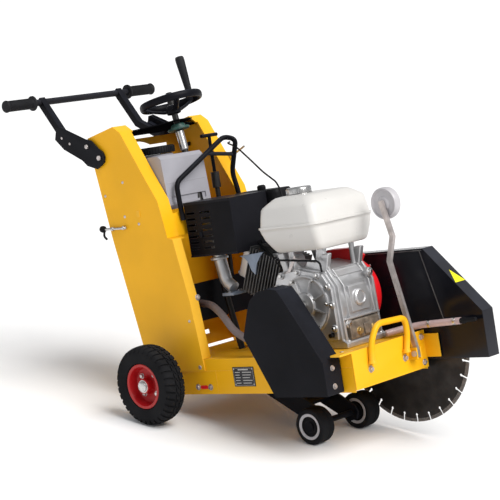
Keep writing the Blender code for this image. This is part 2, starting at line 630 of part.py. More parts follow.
def build_exhaust_and_intake():
    x0, x1, z0, z1 = 0.064, 0.240, 0.314, 0.463
    y0, y1 = -0.106, 0.036
    guard = box("muffler_guard", (x0, x1), (y0, y1), (z0, z1), BLACK)
    cuts = [box("c", (x0 + 0.002, x1 - 0.002), (y0 + 0.002, y1 + 0.01), (z0 - 0.01, z1 - 0.002))]
    for column in ((0.070, 0.100), (0.122, 0.158)):
        for k in range(7):
            low = 0.334 + k * 0.0160
            cuts.append(box("c", column, (y0 - 0.01, y0 + 0.01), (low, low + 0.0055)))
    combine(guard, [], cuts)
    silencer = [(0, 0), (0.048, 0), (0.054, 0.006), (0.054, 0.148), (0.048, 0.154), (0, 0.154)]
    muffler = lathe("muffler", silencer, (0.070, -0.034, 0.388), (1, 0, 0), STEEL, 24)
    bend = rounded_path([(0.122, -0.060, 0.360), (0.124, -0.060, 0.300), (0.136, -0.060, 0.232), (0.158,
                        -0.060, 0.214)],
                        0.022)
    pipe = tube("a", bend, 0.0135, STEEL)
    combine(muffler, [pipe])
    rings = [(0.104, 0.262, 0.046, 0.120, 0.3300, 0.014), (0.098, 0.268, 0.042, 0.123, 0.3380, 0.018),
             (0.098, 0.268, 0.042, 0.123, 0.4520, 0.018), (0.104, 0.262, 0.048, 0.117, 0.4640, 0.016)]
    ring_body("air_cleaner", rings, BLACK_PLASTIC)
    stick = [(0, 0), (0.0105, 0), (0.0105, 0.006), (0.0060, 0.007), (0.0060, 0.018), (0, 0.018)]
    lathe("dipstick", stick, (0.517, -0.0856, 0.083), (0, -1, 0), BLACK_PLASTIC, 16)
    pull = [(0, 0), (0.0060, 0), (0.0060, 0.014), (0, 0.014)]
    grip = lathe("recoil_grip", pull, (0.3330, 0.096, 0.200), (-1, 0, 0), BLACK_PLASTIC, 14)
    combine(grip, [box("a", (0.312, 0.3230), (0.088, 0.104), (0.174, 0.226))])


# ---- drive
def pulley(name, at, radius, y_mid, half, bore, mat):
    rim = radius + 0.0085
    outline = [(bore, -half), (rim, -half), (rim, -0.0092), (radius, -0.0086), (radius, 0.0086), (rim, 0.0092),
               (rim, half), (bore, half)]
    return lathe(name, outline, (at[0], y_mid, at[1]), (0, 1, 0), mat, 16)


def build_drive():
    crank = pulley("crank_pulley", CRANK_AXIS, CRANK_PULLEY_R, BELT_Y, 0.0130, 0.0100, STEEL)
    combine(crank, [yrod("a", CRANK_AXIS, -0.2240, -0.1062, 0.0122)])
    pulley("blade_pulley", BLADE_AXIS, BLADE_PULLEY_R, BELT_Y, 0.0130, 0.0129, STEEL)
    bx, bz = BLADE_AXIS
    shaft = yrod("blade_shaft", BLADE_AXIS, -0.2240, 0.1660, 0.0125, STEEL)
    collar = [(0, 0.1285), (0.0300, 0.1285), (0.0400, 0.1345), (0.0450, 0.1365), (0.0450, 0.1415), (0, 0.1415)]
    combine(shaft, [lathe("a", collar, (bx, 0.0, bz), (0, 1, 0), STEEL, 24)])
    dx = BLADE_AXIS[0] - CRANK_AXIS[0]
    dz = BLADE_AXIS[1] - CRANK_AXIS[1]
    span = math.hypot(dx, dz)
    heading = math.atan2(dz, dx)

    def loop(extra):
        r0, r1 = CRANK_PULLEY_R + extra, BLADE_PULLEY_R + extra
        lean = math.asin((r0 - r1) / span)
        points = []
        for centre, radius, first, last in ((CRANK_AXIS, r0, 90 - math.degrees(lean), 270 + math.degrees(lean)),
                                            (BLADE_AXIS, r1, -90 + math.degrees(lean),
                                             90 - math.degrees(lean))):
            for k in range(15):
                angle = heading + math.radians(first + (last - first) * k / 14)
                points.append((centre[0] + radius * math.cos(angle), centre[1] + radius * math.sin(angle)))
        return points

    belt = prism("drive_belt", loop(0.0085), BELT_Y - 0.0080, BELT_Y + 0.0080, RUBBER)
    combine(belt, [], [prism("c", loop(0.0006), BELT_Y - 0.02, BELT_Y + 0.02)])
    housing = lathe("spindle_housing", [(0.0128, -0.162), (0.030, -0.162), (0.030, 0.112), (0.0128, 0.112)],
                    (bx, 0.0, bz), (0, 1, 0), BLACK, 20)
    combine(housing, [box("a", (bx - 0.032, bx + 0.032), (-0.155, 0.108), (bz + 0.018,
            DECK_TOP - DECK_T - GAP))],
            [yrod("c", BLADE_AXIS, -0.17, 0.12, 0.0128)])
    outline = [(0.371, 0.186), (0.384, 0.206), (0.410, 0.223), (0.446, 0.231), (0.478, 0.226), (0.495, 0.203),
               (0.598, 0.038), (0.598, -0.046), (0.420, -0.046), (0.340, 0.110)]
    inner = [(0.376, 0.184), (0.388, 0.203), (0.412, 0.219), (0.446, 0.227), (0.476, 0.222), (0.4915, 0.202),
             (0.5945, 0.037), (0.5945, -0.0425), (0.4225, -0.0425), (0.3445, 0.1105)]
    guard = prism("belt_guard", outline, -0.2350, -0.1725, BLACK)
    combine(guard, [], [prism("c", inner, -0.2320, -0.15)])


def build_blade():
    bx, bz = BLADE_AXIS
    step = 2 * math.pi / SEGMENTS
    inner_r, neck_r, hole_r = 0.1780, 0.1850, 0.0042
    points = []
    for k in range(SEGMENTS):
        mid = k * step
        half = 0.0022
        for r in (BLADE_R, neck_r):
            points.append((r, mid - half / r))
        points.append((inner_r + hole_r, mid - hole_r / inner_r))
        points.append((inner_r, mid))
        points.append((inner_r + hole_r, mid + hole_r / inner_r))
        for r in (neck_r, BLADE_R):
            points.append((r, mid + half / r))
        points.append((BLADE_R, mid + step / 2))
    poly = [(bx + r * math.cos(a), bz + r * math.sin(a)) for r, a in points]
    blade = prism("blade", poly, BLADE_Y[0], BLADE_Y[1], BLADE_STEEL)
    combine(blade, [], [yrod("c", BLADE_AXIS, 0.13, 0.16, 0.0129)])
    outer = [(0.0129, 0.1453), (0.0450, 0.1453), (0.0450, 0.1490), (0.0300, 0.1520), (0.0190, 0.1525),
             (0.0190, 0.1630), (0.0129, 0.1630)]
    lathe("blade_flange", outer, (bx, 0.0, bz), (0, 1, 0), STEEL, 24)


def build_blade_guard():
    outline = [(0.320, -0.026), (0.828, -0.026), (0.828, 0.0930), (0.667, 0.2620), (0.432, 0.2620), (0.320,
               0.150)]
    inner = [(0.323, -0.100), (0.825, -0.100), (0.825, 0.0918), (0.6657, 0.2590), (0.4332, 0.2590), (0.323,
             0.1488)]
    # the near wall is cut away round the spindle, down to the rim, so that the guard can flip up past it
    notch = [(0.505, -0.100), (0.505, 0.030), (0.520, 0.050), (0.545, 0.058), (0.570, 0.056), (0.592, 0.044),
             (0.606, 0.022), (0.630, -0.010), (0.634, -0.100)]
    guard = prism("blade_guard", outline, GUARD_Y[0], GUARD_Y[1], BLACK)
    combine(guard, [], [prism("c", inner, GUARD_Y[0] + SHEET, GUARD_Y[1] - SHEET),
                        prism("c", notch, GUARD_Y[0] - 0.01, GUARD_Y[0] + 0.01),
                        yrod("c", GUARD_PIVOT, 0.12, 0.14, 0.0054)])


# ---- cutting pointer
def build_pointer():
    y0, y1 = 0.0555, 0.0645
    spine = [(0.6560, -0.008), (0.6540, 0.020), (0.6110, 0.243), (0.6330, 0.306), (POINTER_WHEEL[0],
             POINTER_WHEEL[1] + 0.008)]
    half = 0.0065
    poly = strip(spine, half, below=False)[len(spine):][::-1] + strip(spine, half, below=True)[len(spine):]
    bar = prism("pointer_bar", poly, y0, y1, ZINC)
    px, pz = POINTER_PIVOT
    wx, wz = POINTER_WHEEL
    bolt = [(0, 0.0465), (0.0075, 0.0465), (0.0075, 0.0501), (0.0039, 0.0501), (0.0039, 0.0730), (0, 0.0730)]
    spindle = [(0, 0.0600), (0.0050, 0.0600), (0.0050, 0.0925), (0.0095, 0.0925), (0.0095, 0.0960), (0, 0.0960)]
    adds = [lathe("a", bolt, (px, 0, pz), (0, 1, 0), ZINC, 12), lathe("a", spindle, (wx, 0, wz), (0, 1, 0),
            ZINC, 12)]
    combine(bar, adds)
    half_wheel = [(0.0054, 0.0125), (0.0160, 0.0125), (0.0200, 0.0085), (0.0330, 0.0085), (0.0370, 0.0125),
                  (0.0415, 0.0070)]
    wheel = half_wheel + [(r, -h) for r, h in half_wheel[::-1]]
    lathe("pointer_wheel", wheel, (POINTER_WHEEL[0], 0.0785, POINTER_WHEEL[1]), (0, 1, 0), NYLON, 18)


# ---- water, throttle and label
def build_services():
    stem = rod("water_valve", (-0.001, 0.097, 0.5305), (-0.001, 0.097, 0.634), 0.0050, BLACK, 12)
    bar = rod("a", (-0.001, 0.066, 0.634), (-0.001, 0.128, 0.634), 0.0052, BLACK, 12)
    combine(stem, [bar])
    body = rod("water_pipe", (-0.001, 0.097, 0.486), (-0.001, 0.097, 0.5300), 0.0120, STEEL, 16)
    run = rounded_path([(-0.001, 0.097, 0.500), (0.000, 0.097, 0.440), (0.014, 0.092, 0.350), (0.016, 0.080,
                       0.200)], 0.04)
    combine(body, [tube("a", run, 0.0070, STEEL, 10)])
    rear = rounded_path([(0.052, -0.086, 0.186), (0.110, -0.104, 0.182), (0.172, -0.132, 0.158), (0.215,
                        -0.140, 0.112),
                         (0.270, -0.146, 0.088), (0.320, -0.148, 0.080)], 0.045, 5)
    tube("rear_hose", rear, 0.0100, HOSE)
    front = rounded_path([(0.575, 0.055, 0.058), (0.600, 0.094, 0.062), (0.640, 0.110, 0.067), (0.770, 0.110,
                         0.073)],
                         0.040, 5)
    tube("front_hose", front, 0.0090, CLEAR_HOSE)
    tip = [(0, 0.0005), (0.0075, 0.0005), (0.0085, 0.010), (0.0060, 0.020), (0.0050, 0.048), (0, 0.048)]
    lathe("hose_nozzle", tip, (0.770, 0.110, 0.073), (1.0, 0.0, 0.06), BLACK_PLASTIC, 14)
    cable = rounded_path([(0.012, 0.150, 0.606), (0.060, 0.136, 0.590), (0.130, 0.105, 0.555), (0.210, 0.070,
                         0.512),
                          (0.285, 0.036, 0.482), (0.306, 0.026, 0.455), (0.310, 0.024, 0.425)], 0.03, 3)
    tube("throttle_cable", cable, 0.0022, BLACK_PLASTIC, 8)
    pivot = (0.000, 0.566)
    lever = yrod("throttle_lever", pivot, 0.1728, 0.1790, 0.0130, STEEL)
    shaft = rod("a", (0.000, 0.1765, 0.566), (0.052, 0.1765, 0.588), 0.0030, segments=10)
    combine(lever, [shaft])
    bevel(box("nameplate", (0.216, 0.293), (-0.1702, -0.1690), (-0.030, 0.022), PLATE), 0.0003, 1)


build_base()
build_front_plate()
build_lift_handle()
build_console_side("console_side_right", -1)
build_console_side("console_side_left", 1)
build_rear_panel()
build_cross_panel()
build_top_plate()
build_screw_bearing()
build_lifting_hoop()
build_water_tank()
build_rear_wheels()
build_front_wheels()
build_swing_arm()
build_screw()
build_handwheel()
build_handlebar()
build_engine()
build_fuel_tank()
build_exhaust_and_intake()
build_drive()
build_blade()
build_blade_guard()
build_pointer()
build_services()

# ---- stand the machine on its wheels, each moving piece with its origin on its own axis
PLACE = Matrix.Translation((-ORIGIN_X, 0.0, REAR_R)) @ Matrix.Rotation(math.radians(-PITCH_DEG), 4, "Y")
SCREW_ORIGIN = tuple(along_screw(0.0))


def on_axis(at, y=0.0):
    return (at[0], y, at[1])


ORIGINS = {
    "rear_tyre_right": (0.0, -REAR_Y, 0.0),
    "rear_rim_right": (0.0, -REAR_Y, 0.0),
    "rear_tyre_left": (0.0, REAR_Y, 0.0),
    "rear_rim_left": (0.0, REAR_Y, 0.0),
    "front_wheel_right": on_axis(FRONT_AXLE, -FRONT_Y),
    "front_wheel_left": on_axis(FRONT_AXLE, FRONT_Y),
    "swing_arm": on_axis(ARM_PIVOT),
    "lift_nut": on_axis(NUT_AT),
    "lead_screw": SCREW_ORIGIN,
    "handwheel": SCREW_ORIGIN,
    "crank_grip": (SCREW_ORIGIN[0], 0.0790, SCREW_ORIGIN[2]),
    "crossbar": on_axis(HANDLE_PIVOT),
    "handle_arm_right": on_axis(HANDLE_PIVOT),
    "handle_arm_left": on_axis(HANDLE_PIVOT),
    "grip_right": on_axis(HANDLE_PIVOT),
    "grip_left": on_axis(HANDLE_PIVOT),
    "crank_pulley": on_axis(CRANK_AXIS),
    "blade_pulley": on_axis(BLADE_AXIS),
    "blade_shaft": on_axis(BLADE_AXIS),
    "blade": on_axis(BLADE_AXIS),
    "blade_flange": on_axis(BLADE_AXIS),
    "blade_guard": on_axis(GUARD_PIVOT),
    "pointer_bar": on_axis(POINTER_PIVOT, 0.060),
    "pointer_wheel": on_axis(POINTER_WHEEL, 0.0785),
    "fuel_cap": (0.404, -0.012, 0.4464),
    "water_tank_cap": (-0.067, -0.048, 0.6045),
    "water_valve": (-0.001, 0.097, 0.600),
    "throttle_lever": (0.000, 0.1760, 0.566),
    "recoil_grip": (0.3330, 0.096, 0.200),
}

for part in SCENE.objects:
    origin = Vector(ORIGINS.get(part.name, (0.0, 0.0, 0.0)))
    part.data.transform(Matrix.Translation(-origin))
    part.matrix_world = PLACE @ Matrix.Translation(origin)
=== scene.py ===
"""Looks of the walk-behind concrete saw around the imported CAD: finer pieces, surfaces, light and camera."""
import json
from math import copysign, cos, pi, radians, sin
import bmesh
import bpy
from mathutils import Matrix, Vector


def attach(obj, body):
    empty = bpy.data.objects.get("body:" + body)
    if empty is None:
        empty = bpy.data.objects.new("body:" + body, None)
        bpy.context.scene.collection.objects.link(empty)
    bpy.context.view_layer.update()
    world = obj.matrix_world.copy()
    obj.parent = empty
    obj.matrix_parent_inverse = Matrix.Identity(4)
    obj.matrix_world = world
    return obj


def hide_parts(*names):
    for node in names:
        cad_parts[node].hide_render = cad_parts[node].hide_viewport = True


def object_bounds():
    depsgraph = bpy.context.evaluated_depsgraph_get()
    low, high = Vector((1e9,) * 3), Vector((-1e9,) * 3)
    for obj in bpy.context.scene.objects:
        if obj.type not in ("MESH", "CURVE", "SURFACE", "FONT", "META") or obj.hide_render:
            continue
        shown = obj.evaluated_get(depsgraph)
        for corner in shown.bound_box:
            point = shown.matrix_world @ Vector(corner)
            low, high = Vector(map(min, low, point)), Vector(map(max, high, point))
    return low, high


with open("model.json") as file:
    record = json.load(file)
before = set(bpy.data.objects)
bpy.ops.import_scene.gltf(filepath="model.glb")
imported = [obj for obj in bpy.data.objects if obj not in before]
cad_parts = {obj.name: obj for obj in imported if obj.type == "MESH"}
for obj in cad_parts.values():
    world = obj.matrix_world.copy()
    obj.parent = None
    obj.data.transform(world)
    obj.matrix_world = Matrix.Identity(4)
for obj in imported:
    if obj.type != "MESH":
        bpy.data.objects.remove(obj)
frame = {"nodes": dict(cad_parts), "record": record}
CAD_LOW, CAD_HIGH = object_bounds()

# ---- driving dimensions in metres, in the machine's own frame: x forward, y left, z up, rear axle at origin
PITCH_DEG = 12.35
ORIGIN_X = 0.11493
REAR_R = 0.1075
REAR_Y = 0.2695
FRONT_R = 0.0483
FRONT_Y = 0.0932
FRONT_HALF_W = 0.024
FRONT_AXLE = (0.4084, -0.15)
CONSOLE_Y = 0.172
WALL_Y = 0.1686
SCREW_TOP = (-0.0284, 0.733)
NUT_AT = (0.1008, 0.0025)
CRANK_AXIS = (0.445, 0.165)
BLADE_AXIS = (0.555, 0.006)
BLADE_R = 0.2015
GUARD_TOP = (0.667, 0.262)
GUARD_NOSE = (0.828, 0.093)
HANDLE_PIVOT = (-0.158, 0.619)
BAR_AT = (-0.401, 0.8015)
BAR_END_Y = 0.283
POINTER_WHEEL = (0.612, 0.391)
TANK_CAP_AT = (-0.067, -0.048, 0.6045)
FUEL_CAP_AT = (0.404, -0.012, 0.4464)
PLATE_TOP_Y = 0.1702
ROUND = 64
SIDES = (("right", -1), ("left", 1))
BLADE_SEGMENTS = 28
GUARD_FACE_Y = 0.172
CASE_SIDE_Y = -0.085
MUFFLER_AT = (0.07, -0.034, 0.388)
LOUVRE_COLUMNS = ((0.07, 0.1), (0.122, 0.158))
LOUVRE_LOW, LOUVRE_STEP, LOUVRE_ROWS = 0.334, 0.016, 7
FLANGE_BOLTS = ((0.352, 0.116), (0.35, 0.212), (0.372, 0.244), (0.43, 0.25), (0.494, 0.238), (0.524, 0.208),
                (0.53, 0.16), (0.528, 0.1), (0.47, 0.076), (0.4, 0.076))

PLACE = Matrix.Translation((-ORIGIN_X, 0.0, REAR_R)) @ Matrix.Rotation(radians(-PITCH_DEG), 4, "Y")
SCREW_DIR = Vector((NUT_AT[0] - SCREW_TOP[0], 0.0, NUT_AT[1] - SCREW_TOP[1])).normalized()
SCREW_UP = -SCREW_DIR
HUB = Vector((SCREW_TOP[0], 0.0, SCREW_TOP[1]))


# ---- surfaces, kept by name
MAT = {}


def socket(shader, name, value):
    shader.inputs[name].default_value = value


def surface(name, colour, rough, metallic=0.0, tint=0.1, blotch=7.0, grain=260.0, bump=0.06, spec=0.5,
            coat=0.0, wear=None, wear_amount=0.5, dust_and_sheen=0.0, dust_and_sheen_colour=(0.42, 0.39, 0.35),
            stretch=(1.0, 1.0, 1.0)):
    """Procedural finish: broad colour drift, fine grain in bump and gloss, edge wear, and on upper faces a
    tint that is dust on most finishes and a painted bluish sheen on the black paints.
    """
    mat = bpy.data.materials.new(name)
    mat.use_nodes = True
    nodes, links = mat.node_tree.nodes, mat.node_tree.links
    shader = nodes["Principled BSDF"]
    socket(shader, "Metallic", metallic)
    socket(shader, "Specular IOR Level", spec)
    socket(shader, "Coat Weight", coat)
    socket(shader, "Coat Roughness", 0.12)
    coords = nodes.new("ShaderNodeTexCoord")
    scale = nodes.new("ShaderNodeMapping")
    scale.inputs["Scale"].default_value = stretch
    links.new(coords.outputs["Object"], scale.inputs["Vector"])

    def noise(size, detail):
        tex = nodes.new("ShaderNodeTexNoise")
        tex.inputs["Scale"].default_value = size
        tex.inputs["Detail"].default_value = detail
        links.new(scale.outputs["Vector"], tex.inputs["Vector"])
        return tex.outputs["Fac"]

    def ramp(value, low, high, out_low, out_high):
        node = nodes.new("ShaderNodeMapRange")
        for key, number in (("From Min", low), ("From Max", high), ("To Min", out_low), ("To Max", out_high)):
            node.inputs[key].default_value = number
        links.new(value, node.inputs["Value"])
        return node.outputs["Result"]

    def mix(factor, first, second):
        node = nodes.new("ShaderNodeMix")
        node.data_type = "RGBA"
        links.new(factor, node.inputs["Factor"])
        for index, item in ((6, first), (7, second)):
            if isinstance(item, tuple):
                node.inputs[index].default_value = (*item, 1.0)
            else:
                links.new(item, node.inputs[index])
        return node.outputs[2]

    dark = tuple(c * (1.0 - tint) for c in colour)
    light = tuple(min(1.0, c * (1.0 + tint)) for c in colour)
    broad = noise(blotch, 4.0)
    tone = mix(ramp(broad, 0.35, 0.65, 0.0, 1.0), dark, light)
    fine = noise(grain, 3.0)
    if wear:
        geometry = nodes.new("ShaderNodeNewGeometry")
        edge = ramp(geometry.outputs["Pointiness"], 0.53, 0.6, 0.0, wear_amount)
        tone = mix(edge, tone, wear)
    # Upper faces are mixed in patches towards a second colour. On most finishes this is real dust. On the
    # black paints it is a painted bluish sheen standing in for sky light on upward faces.
    if dust_and_sheen:
        split = nodes.new("ShaderNodeSeparateXYZ")
        links.new(coords.outputs["Normal"], split.inputs["Vector"])
        top = ramp(split.outputs["Z"], 0.55, 1.0, 0.0, dust_and_sheen)
        patch = nodes.new("ShaderNodeMath")
        patch.operation = "MULTIPLY"
        links.new(top, patch.inputs[0])
        links.new(ramp(noise(18.0, 6.0), 0.4, 0.62, 0.25, 1.0), patch.inputs[1])
        tone = mix(patch.outputs["Value"], tone, dust_and_sheen_colour)
    links.new(tone, shader.inputs["Base Color"])
    links.new(ramp(fine, 0.3, 0.7, max(0.02, rough - 0.07), rough + 0.07), shader.inputs["Roughness"])
    relief = nodes.new("ShaderNodeBump")
    relief.inputs["Strength"].default_value = bump
    relief.inputs["Distance"].default_value = 0.0006
    links.new(fine, relief.inputs["Height"])
    links.new(relief.outputs["Normal"], shader.inputs["Normal"])
    MAT[name] = mat
    return mat


surface("yellow_paint", (0.86, 0.432, 0.006), 0.42, tint=0.04, bump=0.05, spec=0.22, wear=(0.88, 0.56, 0.1),
        wear_amount=0.35, dust_and_sheen=0.04)
# The bluish top colour here is a painted sheen of light on upward faces, not dust.
surface("black_paint", (0.006, 0.0062, 0.0085), 0.38, tint=0.25, bump=0.08, spec=0.06,
        wear=(0.03, 0.03, 0.036), wear_amount=0.5, dust_and_sheen=0.05, dust_and_sheen_colour=(0.26, 0.3, 0.42))
surface("red_paint", (0.72, 0.008, 0.014), 0.38, tint=0.07, spec=0.3, coat=0.08, bump=0.05,
        wear=(0.75, 0.12, 0.1), wear_amount=0.3)
surface("white_paint", (0.66, 0.645, 0.622), 0.34, tint=0.02, grain=40.0, bump=0.01, coat=0.12)
surface("cast_alloy", (0.5, 0.5, 0.51), 0.4, metallic=0.75, tint=0.12, blotch=24.0, grain=520.0, bump=0.35,
        wear=(0.75, 0.75, 0.76), wear_amount=0.6)
surface("bright_steel", (0.56, 0.555, 0.55), 0.28, metallic=1.0, tint=0.1, grain=400.0, bump=0.08,
        stretch=(1.0, 3.0, 1.0))
surface("zinc_plate", (0.54, 0.49, 0.475), 0.4, metallic=0.75, tint=0.16, blotch=60.0, grain=300.0, bump=0.08)
surface("tyre_rubber", (0.0125, 0.0125, 0.0138), 0.78, tint=0.25, blotch=14.0, grain=420.0, bump=0.3,
        spec=0.06, dust_and_sheen=0.02)
surface("grip_rubber", (0.014, 0.014, 0.016), 0.62, tint=0.15, blotch=20.0, grain=500.0, bump=0.25, spec=0.15)
surface("hose_rubber", (0.145, 0.112, 0.108), 0.5, tint=0.15, blotch=16.0, grain=300.0, bump=0.12)
surface("clear_hose", (0.5, 0.365, 0.36), 0.3, tint=0.08, blotch=20.0, grain=160.0, bump=0.05)
surface("tank_plastic", (0.33, 0.325, 0.36), 0.42, tint=0.06, blotch=9.0, grain=380.0, bump=0.1, dust_and_sheen=0.05)
surface("black_plastic", (0.0085, 0.0085, 0.01), 0.48, tint=0.2, blotch=16.0, grain=600.0, bump=0.18,
        spec=0.1)
surface("nylon", (0.5, 0.485, 0.505), 0.38, tint=0.04, blotch=22.0, grain=300.0, bump=0.05)
surface("green_casting", (0.01, 0.055, 0.045), 0.48, tint=0.2, blotch=30.0, grain=420.0, bump=0.4)
surface("plate_print", (0.018, 0.018, 0.021), 0.32, metallic=0.2, tint=0.12, blotch=40.0, grain=300.0,
        bump=0.03)
surface("blade_steel", (0.034, 0.03, 0.028), 0.42, metallic=0.75, tint=0.3, blotch=26.0, grain=340.0,
        bump=0.12, wear=(0.3, 0.28, 0.27), wear_amount=0.5)
PRINT = surface("print_pale", (0.55, 0.54, 0.52), 0.45, tint=0.1, blotch=120.0, grain=500.0, bump=0.04)
DARK_CAST = surface("dark_cast", (0.115, 0.113, 0.115), 0.46, metallic=0.6, tint=0.22, blotch=30.0,
                    grain=520.0, bump=0.35)
# The bluish top colour here is a painted sheen of light on upward faces, not dust.
GLOSS_BLACK = surface("gloss_black", (0.006, 0.0064, 0.0095), 0.17, tint=0.2, bump=0.05, spec=0.2,
                      wear=(0.05, 0.05, 0.06), wear_amount=0.5, dust_and_sheen=0.05, dust_and_sheen_colour=(0.26, 0.3, 0.42))
# A darker red than red_paint: partly the rim's own deeper paint, partly painted shade of the dish sunk inside
# the tyre.
RIM_RED_AND_SHADE = surface("rim_red", (0.4, 0.006, 0.009), 0.4, tint=0.08, bump=0.05, spec=0.3, wear=(0.55, 0.1, 0.08),
                  wear_amount=0.3)
MATT_BLACK = surface("matt_black", (0.006, 0.006, 0.007), 0.95, tint=0.2, bump=0.05, spec=0.0)
LEMON = surface("sticker_lemon", (0.86, 0.8, 0.015), 0.35, tint=0.03, blotch=60.0, spec=0.3, bump=0.02)
STAINED = surface("stained_cast", (0.235, 0.195, 0.155), 0.48, metallic=0.55, tint=0.35, blotch=55.0,
                  grain=520.0, bump=0.35)
DARK_STEEL = surface("dark_steel", (0.03, 0.029, 0.029), 0.42, metallic=0.6, tint=0.25, blotch=30.0,
                     grain=300.0, bump=0.1)
BRASS = surface("brass", (0.55, 0.42, 0.2), 0.34, metallic=0.85, tint=0.12, blotch=40.0, grain=300.0,
                bump=0.08)
GRIT = surface("segment_grit", (0.15, 0.135, 0.125), 0.62, metallic=0.4, tint=0.35, blotch=420.0,
               grain=1400.0, bump=0.7)
SLATE = surface("slate_plate", (0.2, 0.245, 0.32), 0.4, metallic=0.4, tint=0.12, blotch=30.0, grain=300.0,
                bump=0.1)


# ---- shapes, added to a bmesh in the machine's own frame
def add_lathe(bm, profile, origin, axis, segments=ROUND):
    """A (radius, height) outline turned about an axis."""
    axis = Vector(axis).normalized()
    place = Matrix.Translation(Vector(origin)) @ axis.to_track_quat("Z", "Y").to_matrix().to_4x4()
    rings = []
    for radius, height in profile:
        if radius < 1e-6:
            rings.append([bm.verts.new(place @ Vector((0, 0, height)))])
            continue
        ring = []
        for k in range(segments):
            a = 2 * pi * k / segments
            ring.append(bm.verts.new(place @ Vector((radius * cos(a), radius * sin(a), height))))
        rings.append(ring)
    for i in range(len(rings)):
        first, second = rings[i], rings[(i + 1) % len(rings)]
        if len(first) == 1 and len(second) == 1:
            continue
        for k in range(segments):
            m = (k + 1) % segments
            if len(first) == 1:
                bm.faces.new((first[0], second[m], second[k]))
            elif len(second) == 1:
                bm.faces.new((first[k], first[m], second[0]))
            else:
                bm.faces.new((first[k], first[m], second[m], second[k]))


def add_prism(bm, poly, y0, y1):
    near = [bm.verts.new((x, y0, z)) for x, z in poly]
    far = [bm.verts.new((x, y1, z)) for x, z in poly]
    bm.faces.new(near)
    bm.faces.new(far[::-1])
    for i in range(len(poly)):
        j = (i + 1) % len(poly)
        bm.faces.new((near[i], far[i], far[j], near[j]))


def add_box(bm, x, y, z):
    add_prism(bm, [(x[0], z[0]), (x[1], z[0]), (x[1], z[1]), (x[0], z[1])], y[0], y[1])


def skin(bm, rings):
    """Quads between neighbouring rings, with both ends closed."""
    for first, second in zip(rings, rings[1:]):
        for k in range(len(first)):
            m = (k + 1) % len(first)
            bm.faces.new((first[k], first[m], second[m], second[k]))
    bm.faces.new(rings[0][::-1])
    bm.faces.new(rings[-1])


def mirrored(half):
    """A (radius, height) outline and its mirror image below."""
    return half + [(r, -h) for r, h in half[::-1]]


def add_boss(bm, at, axis, foot, top, height, segments):
    """A round boss that narrows from its foot to its top."""
    add_lathe(bm, [(0, 0), (foot, 0), (top, height), (0, height)], at, axis, segments)


def add_tube(bm, points, radius, sides=20):
    rings = []
    up = Vector((0.31, 0.42, 0.85)).normalized()
    for i, point in enumerate(points):
        tangent = (points[min(i + 1, len(points) - 1)] - points[max(i - 1, 0)]).normalized()
        up = (up - tangent * up.dot(tangent)).normalized()
        side = tangent.cross(up)
        ring = []
        for k in range(sides):
            a = 2 * pi * k / sides
            ring.append(bm.verts.new(point + (up * cos(a) + side * sin(a)) * radius))
        rings.append(ring)
    skin(bm, rings)


def bent(points, radius, steps=8):
    """Straight runs joined by smooth bends."""
    points = [Vector(p) for p in points]
    out = [points[0]]
    for i in range(1, len(points) - 1):
        back, ahead = points[i - 1] - points[i], points[i + 1] - points[i]
        cut = min(radius, back.length * 0.45, ahead.length * 0.45)
        a, b = points[i] + back.normalized() * cut, points[i] + ahead.normalized() * cut
        for s in range(steps + 1):
            t = s / steps
            out.append(a * (1 - t) ** 2 + points[i] * 2 * t * (1 - t) + b * t ** 2)
    out.append(points[-1])
    return out


def add_bolt(bm, at, axis, radius=0.0065, head=0.0045, washer=0.0):
    """Hex head with a chamfered top, on a washer if one is asked for."""
    base = 0.0
    if washer:
        add_lathe(bm, [(0, -0.0006), (washer, -0.0006), (washer, 0.001), (0, 0.001)], at, axis, 28)
        base = 0.001
    outline = [(0, base - 0.0006), (radius, base - 0.0006), (radius, base + head * 0.8),
               (radius * 0.88, base + head), (0, base + head)]
    add_lathe(bm, outline, at, axis, 6)


def add_dome(bm, at, axis, radius, height):
    """A rivet or button head."""
    outline = [(0, -0.0006), (radius, -0.0006), (radius, height * 0.25), (radius * 0.85, height * 0.65),
               (radius * 0.5, height * 0.93), (0, height)]
    add_lathe(bm, outline, at, axis, 24)


def piece(name, bm, body, slot, replaces=(), edge=0.0, sharp=35.0, mat=None):
    """Turns the bmesh into a piece that rides on a CAD body, in its slot's finish unless mat is given."""
    bmesh.ops.recalc_face_normals(bm, faces=bm.faces)
    bmesh.ops.transform(bm, matrix=PLACE, verts=bm.verts)
    mesh = bpy.data.meshes.new(name)
    bm.to_mesh(mesh)
    bm.free()
    for face in mesh.polygons:
        face.use_smooth = True
    mesh.set_sharp_from_angle(angle=radians(sharp))
    mesh.materials.append(mat or MAT[slot])
    obj = bpy.data.objects.new(name, mesh)
    bpy.context.scene.collection.objects.link(obj)
    if edge:
        soften(obj, edge, sharp)
    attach(obj, body)
    if replaces:
        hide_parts(*replaces)
    return obj


def soften(obj, width, angle=35.0):
    """Rounded edges, with the flats kept flat."""
    mod = obj.modifiers.new("edge", "BEVEL")
    mod.width = width
    mod.segments = 2
    mod.limit_method = "ANGLE"
    mod.angle_limit = radians(angle)
    mod.use_clamp_overlap = True
    flat = obj.modifiers.new("flats", "WEIGHTED_NORMAL")
    flat.keep_sharp = True


